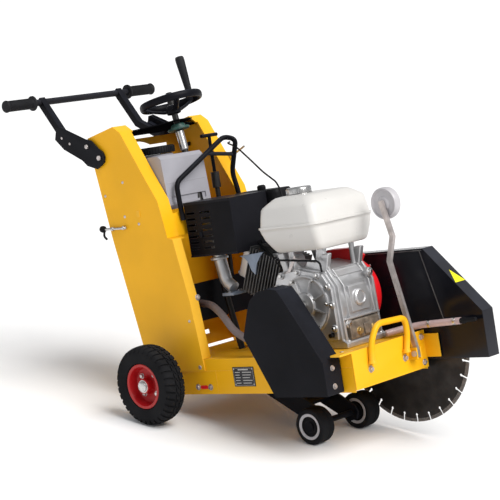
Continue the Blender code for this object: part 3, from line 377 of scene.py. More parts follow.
# ---- rear wheels
def tread_tyre(side, sign):
    """Tyre with two rows of shoulder lugs and a middle rib, cut by slanting grooves."""
    half = [(0.0568, 0.026, 0), (0.0625, 0.0262, 0), (0.064, 0.0315, 0), (0.0668, 0.0326, 0),
            (0.07, 0.0318, 0), (0.078, 0.0334, 0), (0.088, 0.0333, 0), (0.0925, 0.0326, 0),
            (0.093, 0.0325, 1), (0.0975, 0.0314, 1), (0.1015, 0.0284, 1), (0.1046, 0.0238, 1),
            (0.1062, 0.018, 1), (0.1069, 0.012, 1), (0.107, 0.0095, 1), (0.1035, 0.009, 0),
            (0.1036, 0.006, 0), (0.1073, 0.0055, 2), (REAR_R, 0.002, 2)]
    profile = half + [(r, -h, zone) for r, h, zone in half[::-1]]
    lugs, depth, slant = 34, 0.004, 2.4
    fractions = (0.0, 0.05, 0.3, 0.35, 0.52, 0.76)
    bm = bmesh.new()
    rings = []
    for radius, height, zone in profile:
        ring = []
        stagger = 0.5 if height < 0 else 0.0
        for lug in range(lugs):
            for index, fraction in enumerate(fractions):
                turn = 2 * pi * (lug + fraction + stagger) / lugs + slant * abs(height)
                cut = depth if zone == 1 and index in (1, 2) else 0.0
                cut = 0.0025 if zone == 2 and index in (1, 2) else cut
                r = radius - cut
                y = height - copysign(cut * 0.25, height)
                ring.append(bm.verts.new((r * cos(turn), sign * REAR_Y + y, r * sin(turn))))
        rings.append(ring)
    size = lugs * len(fractions)
    for i in range(len(rings)):
        first, second = rings[i], rings[(i + 1) % len(rings)]
        for k in range(size):
            m = (k + 1) % size
            bm.faces.new((first[k], first[m], second[m], second[k]))
    piece("tyre_tread_" + side, bm, "wheel_" + side, "tyre_rubber", ("rear_tyre_" + side,), sharp=28)


def rear_rim(side, sign):
    half = [(0.0104, 0.028), (0.019, 0.028), (0.02, 0.027), (0.0205, 0.012), (0.023, 0.006), (0.027, 0.0036),
            (0.042, 0.0032), (0.047, 0.006), (0.05, 0.014), (0.0522, 0.027), (0.0535, 0.0292), (0.06, 0.0296),
            (0.0612, 0.0286), (0.061, 0.0268), (0.0562, 0.0262)]
    bm = bmesh.new()
    add_lathe(bm, mirrored(half), (0, sign * REAR_Y, 0), (0, 1, 0))
    # The dish's red is darkened partly with painted shade.
    piece("rim_dish_" + side, bm, "wheel_" + side, "red_paint", ("rear_rim_" + side,), sharp=40, mat=RIM_RED_AND_SHADE)
    bm = bmesh.new()
    for face in (-1, 1):
        for k in range(4):
            a = radians(45 + 90 * k)
            at = (0.0345 * cos(a), sign * REAR_Y + face * 0.0034, 0.0345 * sin(a))
            add_bolt(bm, at, (0, face, 0), 0.0058, 0.005, 0.0078)
        ring = [(0.0108, 0.0276), (0.0176, 0.0276), (0.0176, 0.0286), (0.015, 0.029), (0.0108, 0.0288)]
        add_lathe(bm, [(r, face * h) for r, h in ring], (0, sign * REAR_Y, 0), (0, 1, 0), 40)
    piece("rim_bolts_" + side, bm, "wheel_" + side, "bright_steel", edge=0.0004)


for side, sign in SIDES:
    tread_tyre(side, sign)
    rear_rim(side, sign)


# ---- front rollers
def front_roller(side, sign):
    at = (FRONT_AXLE[0], sign * FRONT_Y, FRONT_AXLE[1])
    half = [(0.0084, 0.019), (0.026, 0.019), (0.0275, 0.0215), (0.035, 0.0232), (0.04, FRONT_HALF_W),
            (0.044, 0.0236), (0.0468, 0.0216), (0.0479, 0.019), (FRONT_R, 0.015), (FRONT_R, 0.004),
            (FRONT_R - 0.0008, 0.0034)]
    bm = bmesh.new()
    add_lathe(bm, mirrored(half), at, (0, 1, 0))
    piece("roller_tread_" + side, bm, "roller_" + side, "tyre_rubber", ("front_wheel_" + side,))
    bm = bmesh.new()
    for face in (-1, 1):
        ring = [(0.0272, 0.0212), (0.0345, 0.023), (0.0342, 0.024), (0.028, 0.0232), (0.0268, 0.0222)]
        add_lathe(bm, [(r, face * h) for r, h in ring], at, (0, 1, 0))
    piece("roller_ring_" + side, bm, "roller_" + side, "nylon")
    bm = bmesh.new()
    for face in (-1, 1):
        cup = [(0.0088, 0.0186), (0.0175, 0.0186), (0.018, 0.0204), (0.015, 0.0212), (0.0088, 0.0206)]
        add_lathe(bm, [(r, face * h) for r, h in cup], at, (0, 1, 0), 40)
    piece("roller_bearing_" + side, bm, "roller_" + side, "black_plastic")


for side, sign in SIDES:
    front_roller(side, sign)


# ---- handwheel
def handwheel():
    bm = bmesh.new()
    rim = []
    for k in range(18):
        a = 2 * pi * k / 18
        rim.append((0.0838 + 0.0057 * cos(a), 0.009 + 0.0108 * sin(a)))
    add_lathe(bm, rim, HUB, SCREW_UP, 72)
    boss = [(0.0074, -0.026), (0.0185, -0.026), (0.02, -0.0245), (0.02, -0.013), (0.0175, -0.006),
            (0.015, -0.002), (0.0074, -0.002)]
    add_lathe(bm, boss, HUB, SCREW_UP, 40)
    left = Vector((0.0, 1.0, 0.0))
    side = SCREW_UP.cross(left).normalized()
    for angle in (90, 210, 330):
        a = radians(angle)
        out = side * cos(a) + left * sin(a)
        lateral = SCREW_UP.cross(out)
        rings = []
        for reach, drop, half_w, half_t in ((0.012, -0.018, 0.011, 0.005), (0.03, -0.015, 0.0088, 0.0045),
                (0.055, -0.006, 0.0078, 0.0042), (0.072, 0.003, 0.008, 0.0042),
                (0.083, 0.008, 0.0095, 0.0042)):
            centre = HUB + out * reach + SCREW_UP * drop
            ring = []
            for k in range(14):
                b = 2 * pi * k / 14
                ring.append(bm.verts.new(centre + lateral * half_w * cos(b) + SCREW_UP * half_t * sin(b)))
            rings.append(ring)
        skin(bm, rings)
    foot = HUB + left * 0.079
    lug = [(0, 0.004), (0.0105, 0.004), (0.0115, 0.006), (0.0115, 0.02), (0.01, 0.0215), (0, 0.0215)]
    add_lathe(bm, lug, foot, SCREW_UP, 32)
    piece("handwheel_casting", bm, "wheel_and_screw", "black_paint", ("handwheel",))
    bm = bmesh.new()
    add_lathe(bm, [(0, 0.0205), (0.0041, 0.0205), (0.0041, 0.06), (0, 0.0605)], foot, SCREW_UP, 24)
    add_lathe(bm, [(0.0, -0.003), (0.0145, -0.003), (0.0145, -0.001), (0, -0.001)], HUB, SCREW_UP, 32)
    add_lathe(bm, [(0.0072, 0.076), (0.011, 0.076), (0.0115, 0.078), (0.0115, 0.128), (0.0105, 0.13),
                   (0.0072, 0.13)], HUB, SCREW_DIR, 32)
    piece("handwheel_nut", bm, "wheel_and_screw", "bright_steel", edge=0.0004)
    bm = bmesh.new()
    grip = [(0.0044, 0.022), (0.0082, 0.022), (0.0088, 0.025), (0.0086, 0.03), (0.0094, 0.038),
            (0.0104, 0.06), (0.0116, 0.085), (0.0124, 0.105), (0.013, 0.122), (0.0126, 0.129),
            (0.0108, 0.133), (0.006, 0.1343), (0, 0.1345), (0, 0.062), (0.0044, 0.062)]
    add_lathe(bm, grip, foot, SCREW_UP, 40)
    piece("crank_knob", bm, "crank_handle", "grip_rubber", ("crank_grip",))


handwheel()


# ---- handlebar
def hand_grips():
    for side, sign in SIDES:
        outline = [(0.0099, 0.0), (0.02, 0.0), (0.0215, 0.0015), (0.0215, 0.0045), (0.0195, 0.0068),
                   (0.016, 0.0085)]
        for k in range(26):
            at = 0.01 + k * 0.0032
            outline += [(0.0158, at), (0.0158, at + 0.0016), (0.0149, at + 0.002), (0.0149, at + 0.0028)]
        outline += [(0.0158, 0.094), (0.0172, 0.096), (0.0175, 0.099), (0.016, 0.1018), (0, 0.102),
                    (0, 0.0965), (0.0099, 0.0965)]
        bm = bmesh.new()
        start = (BAR_AT[0], sign * (BAR_END_Y - 0.102), BAR_AT[1])
        add_lathe(bm, outline, start, (0, sign, 0), 48)
        piece("grip_sleeve_" + side, bm, "handlebar", "grip_rubber", ("grip_" + side,), sharp=50)
    bm = bmesh.new()
    half = BAR_END_Y - 0.006
    add_lathe(bm, [(0, -half), (0.0095, -half), (0.0095, half), (0, half)], (BAR_AT[0], 0, BAR_AT[1]),
              (0, 1, 0), 40)
    piece("cross_tube", bm, "handlebar", "black_paint", ("crossbar",))
    bm = bmesh.new()
    for sign in (-1, 1):
        for x, z, radius in ((HANDLE_PIVOT[0], HANDLE_PIVOT[1], 0.0075), (-0.201, 0.655, 0.0068),
                (-0.273, 0.671, 0.0045), (-0.303, 0.69, 0.0045)):
            depth = 0.182 if radius > 0.006 else 0.1772
            add_bolt(bm, (x, sign * depth, z), (0, sign, 0), radius, 0.0042, 0.0)
    piece("handle_bolts", bm, "handlebar", "zinc_plate", edge=0.0003)


hand_grips()


def bracket_plates():
    """Wide cheek plates at the foot of each handle arm, under the bolt heads."""
    outline = [(-0.333, 0.689), (-0.321, 0.719), (-0.301, 0.721), (-0.204, 0.676), (-0.182, 0.67),
               (-0.144, 0.632), (-0.14, 0.612), (-0.15, 0.599), (-0.174, 0.589), (-0.213, 0.602),
               (-0.231, 0.619), (-0.301, 0.657)]
    bm = bmesh.new()
    for sign in (-1, 1):
        add_prism(bm, outline, sign * 0.1774, sign * 0.1812)
    piece("bracket_plates", bm, "handlebar", "black_paint", edge=0.0008)


bracket_plates()


# ---- tube work
def tube_piece(name, path, radius, slot, body="machine", replaces=(), bend=0.022, sides=24, steps=8):
    bm = bmesh.new()
    add_tube(bm, bent(path, bend, steps), radius, sides)
    return piece(name, bm, body, slot, replaces, sharp=60)


LIFT_X = 0.6364 + 0.0085
tube_piece("lift_tube", [(LIFT_X, -0.105, 0.014), (LIFT_X, -0.1, 0.06), (LIFT_X + 0.003, -0.072, 0.104),
                         (LIFT_X + 0.003, 0.04, 0.099), (LIFT_X, 0.046, 0.058), (LIFT_X, 0.033, 0.014)],
           0.008, "yellow_paint", replaces=("lift_handle",))
REAR_HOSE = [(0.052, -0.086, 0.186), (0.11, -0.104, 0.182), (0.172, -0.132, 0.158), (0.215, -0.14, 0.112),
             (0.27, -0.146, 0.088), (0.32, -0.148, 0.08)]
tube_piece("rear_hose_run", REAR_HOSE, 0.01, "hose_rubber", replaces=("rear_hose",), bend=0.045)
FRONT_HOSE = [(0.572, 0.05, 0.0575), (0.6, 0.094, 0.062), (0.64, 0.11, 0.067), (0.77, 0.11, 0.073)]
tube_piece("front_hose_run", FRONT_HOSE, 0.009, "clear_hose", replaces=("front_hose",), bend=0.04)
CABLE = [(0.004, 0.17, 0.606), (0.014, 0.15, 0.604), (0.06, 0.136, 0.59), (0.13, 0.105, 0.555),
         (0.21, 0.07, 0.512), (0.285, 0.036, 0.482), (0.306, 0.026, 0.455), (0.312, 0.02, 0.4),
         (0.318, 0.014, 0.296)]
tube_piece("throttle_cable_run", CABLE, 0.0024, "black_plastic", replaces=("throttle_cable",), bend=0.03,
           sides=12)


def hoop_tube():
    bm = bmesh.new()
    path = bent([(0.0538, -0.104, 0.417), (0.05, -0.104, 0.456), (0.048, -0.104, 0.52), (0.06, 0.092, 0.624),
                 (0.086, 0.112, 0.612), (0.052, 0.112, 0.522), (0.066, 0.112, 0.462), (0.06, 0.11, 0.418)],
                0.02)
    add_tube(bm, path, 0.007, 22)
    add_tube(bm, [Vector((0.0545, 0.02, 0.585)), Vector((0.069, 0.112, 0.572))], 0.0055, 18)
    piece("hoop_tube", bm, "machine", "black_paint", ("lifting_hoop",), sharp=60)


hoop_tube()


def hose_clamps():
    bm = bmesh.new()
    for path, reach, radius in ((FRONT_HOSE, (-0.018, -0.1), 0.0098), (REAR_HOSE, (-0.02,), 0.0108)):
        end, before = Vector(path[-1]), Vector(path[-2])
        along = (end - before).normalized()
        for offset in reach:
            at = end + along * offset
            add_lathe(bm, [(radius - 0.0006, -0.004), (radius, -0.004), (radius, 0.004),
                           (radius - 0.0006, 0.004)], at, along, 40)
            up = Vector((0, -0.8, 0.6))
            add_bolt(bm, at + up * radius, up, 0.0034, 0.0034)
    piece("hose_clamps", bm, "machine", "bright_steel", edge=0.0002)


hose_clamps()


# ---- tanks
def add_rings(bm, rings, corner=9):
    """Rounded rectangles (x0, x1, y0, y1, z, radius) stacked and skinned."""
    loops = []
    for x0, x1, y0, y1, z, radius in rings:
        loop = []
        for cx, cy, start in ((x1 - radius, y1 - radius, 0), (x0 + radius, y1 - radius, 90),
                (x0 + radius, y0 + radius, 180), (x1 - radius, y0 + radius, 270)):
            for k in range(corner):
                a = radians(start + 90.0 * k / (corner - 1))
                loop.append(bm.verts.new((cx + radius * cos(a), cy + radius * sin(a), z)))
        loops.append(loop)
    skin(bm, loops)


def fuel_tank():
    x0, x1, half = 0.33, 0.536, 0.1215
    ends = [(0.303, 0.046, 0.018, 0.034, 0.014), (0.3045, 0.04, 0.014, 0.028, 0.015),
            (0.308, 0.035, 0.011, 0.023, 0.016), (0.32, 0.026, 0.008, 0.017, 0.018),
            (0.34, 0.013, 0.005, 0.009, 0.019), (0.36, 0.006, 0.003, 0.004, 0.02),
            (0.369, 0.004, 0.002, 0.002, 0.02), (0.3698, 0.001, 0.0, 0.0, 0.023),
            (0.3704, 0.0, -0.002, 0.0, 0.024), (0.3738, 0.0, -0.002, 0.0, 0.024),
            (0.3744, 0.001, 0.0, 0.0, 0.023), (0.3752, 0.006, 0.003, 0.004, 0.02),
            (0.396, 0.008, 0.005, 0.006, 0.021), (0.418, 0.011, 0.008, 0.009, 0.022),
            (0.424, 0.014, 0.011, 0.012, 0.023), (0.433, 0.024, 0.021, 0.022, 0.024),
            (0.441, 0.034, 0.031, 0.032, 0.024), (0.4446, 0.04, 0.037, 0.038, 0.024),
            (0.446, 0.05, 0.046, 0.048, 0.022)]
    rings = []
    for z, back, front, side, radius in ends:
        rings.append((x0 + back, x1 - front, -half + side, half - side, z, radius))
    bm = bmesh.new()
    add_rings(bm, rings)
    piece("fuel_tank_shell", bm, "machine", "white_paint", ("fuel_tank",), sharp=60)
    bm = bmesh.new()
    rim = [(0, 0.0002), (0.03, 0.0002), (0.033, 0.0018), (0.0332, 0.014), (0.0318, 0.0168), (0.0295, 0.018),
           (0.021, 0.018), (0.02, 0.0168), (0.012, 0.0168), (0.0105, 0.0184), (0, 0.0188)]
    add_lathe(bm, rim, FUEL_CAP_AT, (0, 0, 1))
    for k in range(36):
        a = 2 * pi * k / 36
        at = Vector(FUEL_CAP_AT) + Vector((0.0326 * cos(a), 0.0326 * sin(a), 0.003))
        add_boss(bm, at, (0, 0, 1), 0.001, 0.001, 0.0105, 6)
    piece("fuel_cap_ribbed", bm, "filler_cap", "bright_steel", ("fuel_cap",), sharp=40)
    bm = bmesh.new()
    collar = [(0.0302, -0.0012), (0.035, -0.0012), (0.0352, 0.0006), (0.034, 0.001), (0.0336, 0.0002),
              (0.0302, 0.0001)]
    add_lathe(bm, collar, FUEL_CAP_AT, (0, 0, 1))
    for x, y in ((0.35, -0.105), (0.35, 0.105), (0.52, -0.105), (0.52, 0.105)):
        add_bolt(bm, (x, y, 0.3744), (0, 0, 1), 0.0042, 0.0036, 0.0062)
    piece("fuel_tank_bolts", bm, "machine", "bright_steel", edge=0.0003)


fuel_tank()


def water_cap():
    bm = bmesh.new()
    outline = [(0, 0), (0.047, 0), (0.049, 0.002), (0.0492, 0.018), (0.047, 0.021), (0.043, 0.0215),
               (0.04, 0.0205), (0.02, 0.0205), (0.0185, 0.0215), (0, 0.0215)]
    add_lathe(bm, outline, TANK_CAP_AT, (0, 0, 1), 72)
    for k in range(40):
        a = 2 * pi * k / 40
        at = Vector(TANK_CAP_AT) + Vector((0.049 * cos(a), 0.049 * sin(a), 0.0015))
        add_lathe(bm, [(0, 0), (0.0015, 0), (0.0015, 0.017), (0, 0.0175)], at, (0, 0, 1), 8)
    piece("water_cap_ribbed", bm, "water_cap", "black_plastic", ("water_tank_cap",), sharp=40)
    bm = bmesh.new()
    add_lathe(bm, [(0.0395, -0.0068), (0.044, -0.0068), (0.044, -0.003), (0.0395, -0.0012)], TANK_CAP_AT,
              (0, 0, 1))
    add_box(bm, (0.024, 0.0276), (-0.118, 0.028), (0.52, 0.5236))
    piece("tank_ribs", bm, "machine", "tank_plastic", edge=0.0006)


water_cap()


# ---- engine
def engine_details():
    cx, cz = CRANK_AXIS
    bm = bmesh.new()
    outline = [(0.0128, -0.0205), (0.029, -0.0205), (0.031, -0.0195), (0.0335, -0.012), (0.036, -0.0105),
               (0.064, -0.0092), (0.068, -0.011), (0.073, -0.013), (0.0765, -0.0118), (0.077, -0.0095),
               (0.077, -0.0004), (0.0128, -0.0004)]
    add_lathe(bm, outline, (cx, CASE_SIDE_Y, cz), (0, 1, 0), 72)
    for k in range(8):
        a = radians(22.5 + 45 * k)
        out, across = Vector((cos(a), 0, sin(a))), Vector((-sin(a), 0, cos(a)))
        corners = []
        for r, w, y in ((0.033, 0.0022, -0.017), (0.068, 0.0018, -0.012)):
            for s in (-1, 1):
                base = Vector((cx, CASE_SIDE_Y, cz)) + out * r + across * w * s
                corners.append((base + Vector((0, y, 0)), base + Vector((0, -0.008, 0))))
        vs = [[bm.verts.new(top), bm.verts.new(low)] for top, low in corners]
        a0, a1, b0, b1 = vs[0], vs[1], vs[2], vs[3]
        for quad in ((a0[0], a1[0], b1[0], b0[0]), (a0[1], b0[1], b1[1], a1[1]), (a0[0], b0[0], b0[1], a0[1]),
                     (a1[0], a1[1], b1[1], b1[0]), (a0[0], a0[1], a1[1], a1[0]),
                     (b0[0], b1[0], b1[1], b0[1])):
            bm.faces.new(quad)
    piece("side_cover_casting", bm, "machine", "cast_alloy", ("crankcase_cover",))
    bm = bmesh.new()
    for k in range(6):
        a = radians(60 * k)
        add_bolt(bm, (cx + 0.0715 * cos(a), -0.0978, cz + 0.0715 * sin(a)), (0, -1, 0), 0.0048, 0.0045,
                 0.0064)
    for x in (0.345, 0.548):
        for y in (-0.07, 0.056):
            add_bolt(bm, (x, y, 0.058), (0, 0, 1), 0.0058, 0.005, 0.0082)
    piece("engine_bolts", bm, "machine", "bright_steel", edge=0.0003)
    # bolted side flange, front barrel, ribs and bosses of the crankcase casting
    bm = bmesh.new()
    flange = [(0.342, 0.07), (0.532, 0.07), (0.535, 0.1), (0.534, 0.2), (0.508, 0.24), (0.43, 0.256),
              (0.356, 0.245), (0.34, 0.212)]
    add_prism(bm, flange, -0.0925, -0.0845)
    lip = [(0.49, 0.063), (0.549, 0.063), (0.546, 0.205), (0.518, 0.25), (0.49, 0.25)]
    add_prism(bm, lip, -0.079, -0.072)
    add_prism(bm, lip, 0.058, 0.065)
    add_boss(bm, (0.4525, -0.075, 0.15), (0, 1, 0), 0.0945, 0.0945, 0.136, 72)
    for y in (-0.056, 0.044):
        add_prism(bm, [(0.5, 0.116), (0.5515, 0.116), (0.549, 0.15), (0.545, 0.204), (0.516, 0.248),
                       (0.5, 0.248)], y, y + 0.004)
    add_box(bm, (0.52, 0.552), (-0.076, 0.062), (0.116, 0.1205))
    add_prism(bm, [(0.52, 0.132), (0.55, 0.132), (0.547, 0.198), (0.52, 0.206)], -0.04, 0.03)
    add_prism(bm, [(0.47, 0.234), (0.506, 0.248), (0.528, 0.229), (0.51, 0.21)], -0.062, 0.05)
    for x, z in FLANGE_BOLTS:
        add_boss(bm, (x, -0.092, z), (0, -1, 0), 0.01, 0.0088, 0.005, 28)
    add_lathe(bm, [(0, 0), (0.023, 0), (0.0215, 0.009), (0.016, 0.012), (0.015, 0.009), (0, 0.009)],
              (0.545, -0.006, 0.166), (1, 0, 0.05), 40)
    for y, z in ((-0.03, 0.078), (0.028, 0.078), (-0.06, 0.106), (0.05, 0.222)):
        add_boss(bm, (0.538, y, z), (1, 0, 0), 0.0125, 0.0115, 0.012, 28)
    # struts, boxes and bosses between the case and the tank
    for x, y, top in ((0.4, -0.07, 0.33), (0.505, -0.066, 0.325), (0.5, 0.05, 0.325)):
        add_lathe(bm, [(0, 0), (0.012, 0), (0.0075, 0.018), (0.007, 0.056), (0.01, top - 0.232),
                       (0, top - 0.232)], (x, y, 0.236), (0, 0, 1), 24)
    add_prism(bm, [(0.455, 0.244), (0.526, 0.238), (0.52, 0.262), (0.509, 0.316), (0.492, 0.316),
                   (0.482, 0.272)], -0.076, -0.069)
    add_prism(bm, [(0.38, 0.246), (0.44, 0.25), (0.414, 0.276), (0.408, 0.316), (0.392, 0.316),
                   (0.392, 0.28)], -0.076, -0.069)
    add_prism(bm, [(0.345, 0.246), (0.392, 0.256), (0.386, 0.286), (0.352, 0.29)], -0.058, -0.01)
    add_prism(bm, [(0.44, 0.25), (0.486, 0.244), (0.476, 0.27), (0.448, 0.274)], -0.072, -0.03)
    add_prism(bm, [(0.3, 0.262), (0.345, 0.262), (0.345, 0.3), (0.312, 0.3)], -0.05, 0.03)
    piece("case_ribs", bm, "machine", "cast_alloy", edge=0.001)
    bm = bmesh.new()
    add_prism(bm, [(0.51, 0.064), (0.553, 0.064), (0.5545, 0.07), (0.553, 0.106), (0.549, 0.112),
                   (0.51, 0.112)], -0.064, 0.054)
    add_prism(bm, [(0.51, 0.07), (0.558, 0.07), (0.557, 0.098), (0.51, 0.104)], -0.012, 0.008)
    piece("sump_casting", bm, "machine", "cast_alloy", edge=0.0016, mat=STAINED)
    bm = bmesh.new()
    for y in (-0.03, 0.028):
        add_bolt(bm, (0.554, y, 0.082), (1, 0, 0), 0.0084, 0.007, 0.0105)
    piece("drain_plugs", bm, "machine", "zinc_plate", edge=0.0003, mat=BRASS)
    bm = bmesh.new()
    for x, z in FLANGE_BOLTS:
        add_bolt(bm, (x, -0.0968, z), (0, -1, 0), 0.0056, 0.005, 0.0)
    for y, z in ((-0.06, 0.106), (0.05, 0.222)):
        add_bolt(bm, (0.55, y, z), (1, 0, 0), 0.0062, 0.005, 0.0)
    piece("flange_bolts", bm, "machine", "bright_steel", edge=0.0003)


engine_details()


def engine_top_end():
    """Head bolts, bracket, plug lead, governor lever, muffler with its guard lips, air cleaner ribs."""
    cx, cz = CRANK_AXIS
    axis, across = Vector((-0.904, 0.0, 0.4275)), Vector((0.4275, 0.0, 0.904))

    def at(d, w, y):
        return Vector((cx, 0, cz)) + axis * d + across * w + Vector((0, y, 0))

    bm = bmesh.new()
    for w in (-0.034, 0.032):
        for y in (-0.038, 0.032):
            add_bolt(bm, at(0.2858, w, y), axis, 0.0048, 0.0045, 0.0066)
    for y in (-0.078, -0.042):
        add_bolt(bm, Vector((0.16, y, 0.21)), (0.2, 0, -1), 0.005, 0.006, 0.007)
    piece("head_bolts", bm, "machine", "bright_steel", edge=0.0003)
    bm = bmesh.new()
    add_prism(bm, [(0.142, 0.201), (0.184, 0.201), (0.184, 0.209), (0.142, 0.209)], -0.09, -0.03)
    add_prism(bm, [(0.209, 0.303), (0.299, 0.309), (0.284, 0.296), (0.27, 0.28), (0.258, 0.25),
                   (0.246, 0.262), (0.238, 0.285), (0.226, 0.297)], -0.0715, -0.0655)
    piece("engine_bracket", bm, "machine", "black_paint", edge=0.0008, mat=SLATE)
    bm = bmesh.new()
    lead = bent([at(0.262, 0.046, -0.01), at(0.262, 0.062, -0.012), (0.262, -0.04, 0.327),
                 (0.314, -0.06, 0.298), (0.352, -0.066, 0.262)], 0.02)
    add_tube(bm, lead, 0.0034, 14)
    add_tube(bm, [Vector((0.366, -0.094, 0.286)), Vector((0.5, -0.094, 0.276))], 0.0028, 12)
    add_tube(bm, bent([(0.5, -0.094, 0.276), (0.512, -0.094, 0.27), (0.514, -0.094, 0.246)], 0.006), 0.0028,
             12)
    add_lathe(bm, [(0, 0), (0.0095, 0), (0.0095, 0.018), (0.007, 0.026), (0, 0.026)],
              at(0.262, 0.0415, -0.01), across, 24)
    piece("plug_lead", bm, "machine", "black_plastic", sharp=50)
    bm = bmesh.new()
    lever = [(0.388, 0.248), (0.396, 0.244), (0.43, 0.288), (0.424, 0.293)]
    add_prism(bm, lever, -0.0905, -0.0885)
    add_boss(bm, (0.392, -0.084, 0.247), (0, -1, 0), 0.0062, 0.0062, 0.008, 20)
    coil = []
    for k in range(120):
        a = 2 * pi * k / 10.0
        t = k / 119.0
        coil.append(Vector((0.428 + 0.056 * t, -0.092 + 0.003 * cos(a), 0.286 - 0.01 * t + 0.003 * sin(a))))
    add_tube(bm, coil, 0.0006, 8)
    piece("governor_lever", bm, "machine", "zinc_plate")
    bm = bmesh.new()
    add_lathe(bm, [(0, 0), (0.047, 0), (0.052, 0.003), (0.054, 0.008), (0.054, 0.074), (0.0548, 0.075),
                   (0.0548, 0.079), (0.054, 0.08), (0.054, 0.146), (0.052, 0.151), (0.047, 0.154),
                   (0, 0.154)], MUFFLER_AT, (1, 0, 0), 48)
    elbow = bent([(0.122, -0.06, 0.36), (0.124, -0.06, 0.3), (0.136, -0.06, 0.236), (0.16, -0.06, 0.218)],
                 0.024, 12)
    add_tube(bm, elbow, 0.0172, 28)
    add_lathe(bm, [(0, 0), (0.0235, 0), (0.0245, 0.002), (0.0245, 0.006), (0.019, 0.009), (0, 0.009)],
              (0.123, -0.06, 0.306), (0.04, 0, -1), 32)
    piece("muffler_can", bm, "machine", "bright_steel", ("muffler",), sharp=45, mat=MAT["cast_alloy"])
    bm = bmesh.new()
    for left, right in LOUVRE_COLUMNS:
        for k in range(LOUVRE_ROWS):
            low = LOUVRE_LOW + k * LOUVRE_STEP
            for z in (low - 0.0012, low + 0.0055):
                add_box(bm, (left - 0.001, right + 0.001), (-0.107, -0.104), (z, z + 0.0012))
    add_lathe(bm, [(0, 0), (0.0085, 0), (0.0085, 0.003), (0.005, 0.0046), (0, 0.0046)],
              (0.112, -0.1062, 0.373), (0, -1, 0), 28)
    add_box(bm, (0.064, 0.24), (-0.1072, -0.1056), (0.456, 0.463))
    add_box(bm, (0.064, 0.24), (-0.1072, -0.1056), (0.314, 0.319))
    piece("muffler_guard_lips", bm, "machine", "black_paint", edge=0.0004)
    bm = bmesh.new()
    for k in range(5):
        low = 0.346 + k * 0.018
        add_box(bm, (0.118, 0.248), (0.1222, 0.1248), (low, low + 0.006))
    add_lathe(bm, [(0, 0), (0.011, 0), (0.012, 0.003), (0.012, 0.01), (0.008, 0.014), (0, 0.014)],
              (0.183, 0.082, 0.4636), (0, 0, 1), 32)
    piece("air_cleaner_ribs", bm, "machine", "black_plastic", edge=0.0008)


engine_top_end()


def recoil_cover():
    cx, cz = CRANK_AXIS
    bm = bmesh.new()
    shell = [(0, 0.0005), (0.092, 0.0005), (0.097, 0.004), (0.098, 0.009), (0.0978, 0.019), (0.094, 0.0255),
             (0.087, 0.0312), (0.074, 0.0366), (0.06, 0.0412), (0.048, 0.0428), (0.047, 0.0418),
             (0.04, 0.0418), (0.039, 0.0438), (0.02, 0.0447), (0, 0.045)]
    add_lathe(bm, shell, (cx, 0.07, cz), (0, 1, 0), 72)
    add_prism(bm, [(0.375, 0.2), (0.47, 0.22), (0.5, 0.262), (0.47, 0.284), (0.395, 0.284), (0.352, 0.262)],
              0.0705, 0.1)
    piece("recoil_cover", bm, "machine", "red_paint", ("recoil_housing",), edge=0.0012)
    bm = bmesh.new()
    for k in range(18):
        a = 2 * pi * k / 18
        out = Vector((cos(a), 0, sin(a)))
        rise = Vector((0, 1, 0))
        start = Vector((cx, 0.07, cz)) + out * 0.064 + rise * 0.0402
        end = Vector((cx, 0.07, cz)) + out * 0.086 + rise * 0.0318
        add_tube(bm, [start, end], 0.0018, 10)
    piece("recoil_slots", bm, "machine", "black_plastic")
    bm = bmesh.new()
    for k in range(4):
        a = radians(45 + 90 * k)
        add_bolt(bm, (cx + 0.0945 * cos(a), 0.095, cz + 0.0945 * sin(a)), (0, 1, 0), 0.0042, 0.004, 0.0)
    piece("recoil_bolts", bm, "machine", "bright_steel", edge=0.0003)


recoil_cover()


# ---- sheet metal details
def panel_details():
    bm = bmesh.new()
    rivets = ((-0.09, 0.543), (-0.169, 0.512), (-0.103, 0.449), (-0.051, 0.425), (0.085, 0.15))
    for sign in (-1, 1):
        for x, z in rivets:
            add_dome(bm, (x, sign * CONSOLE_Y, z), (0, sign, 0), 0.0042, 0.0022)
    add_bolt(bm, (-0.124, -CONSOLE_Y + 0.022, 0.6895), (-0.17, 0, 1), 0.005, 0.004, 0.0074)
    piece("console_rivets", bm, "machine", "zinc_plate", edge=0.0002)
    bm = bmesh.new()
    add_box(bm, (-0.053, -0.041), (-0.1738, -0.1716), (0.444, 0.46))
    piece("console_slot", bm, "machine", "yellow_paint", edge=0.0002)
    bm = bmesh.new()
    y = -CONSOLE_Y - 0.0052
    add_lathe(bm, [(0, 0), (0.0034, 0), (0.0034, 0.086), (0.0026, 0.087), (0, 0.087)], (-0.186, y, 0.4208),
              (1, 0, -0.03), 20)
    for x in (-0.158, -0.112):
        add_boss(bm, (x, y, 0.42), (1, 0, -0.03), 0.0062, 0.0062, 0.0055, 6)
    piece("latch_rod", bm, "machine", "bright_steel", edge=0.0003)
    bm = bmesh.new()
    add_lathe(bm, [(0, 0.0), (0.0055, 0.0), (0.0088, 0.004), (0.0098, 0.0095), (0.0088, 0.015),
                   (0.005, 0.019), (0, 0.0198)], (-0.186, y, 0.421), (-1, 0, 0.1), 32)
    add_tube(bm, bent([(-0.19, y, 0.418), (-0.196, y, 0.402), (-0.186, y, 0.393)], 0.006), 0.0032, 12)
    piece("latch_knob", bm, "machine", "black_plastic")


panel_details()


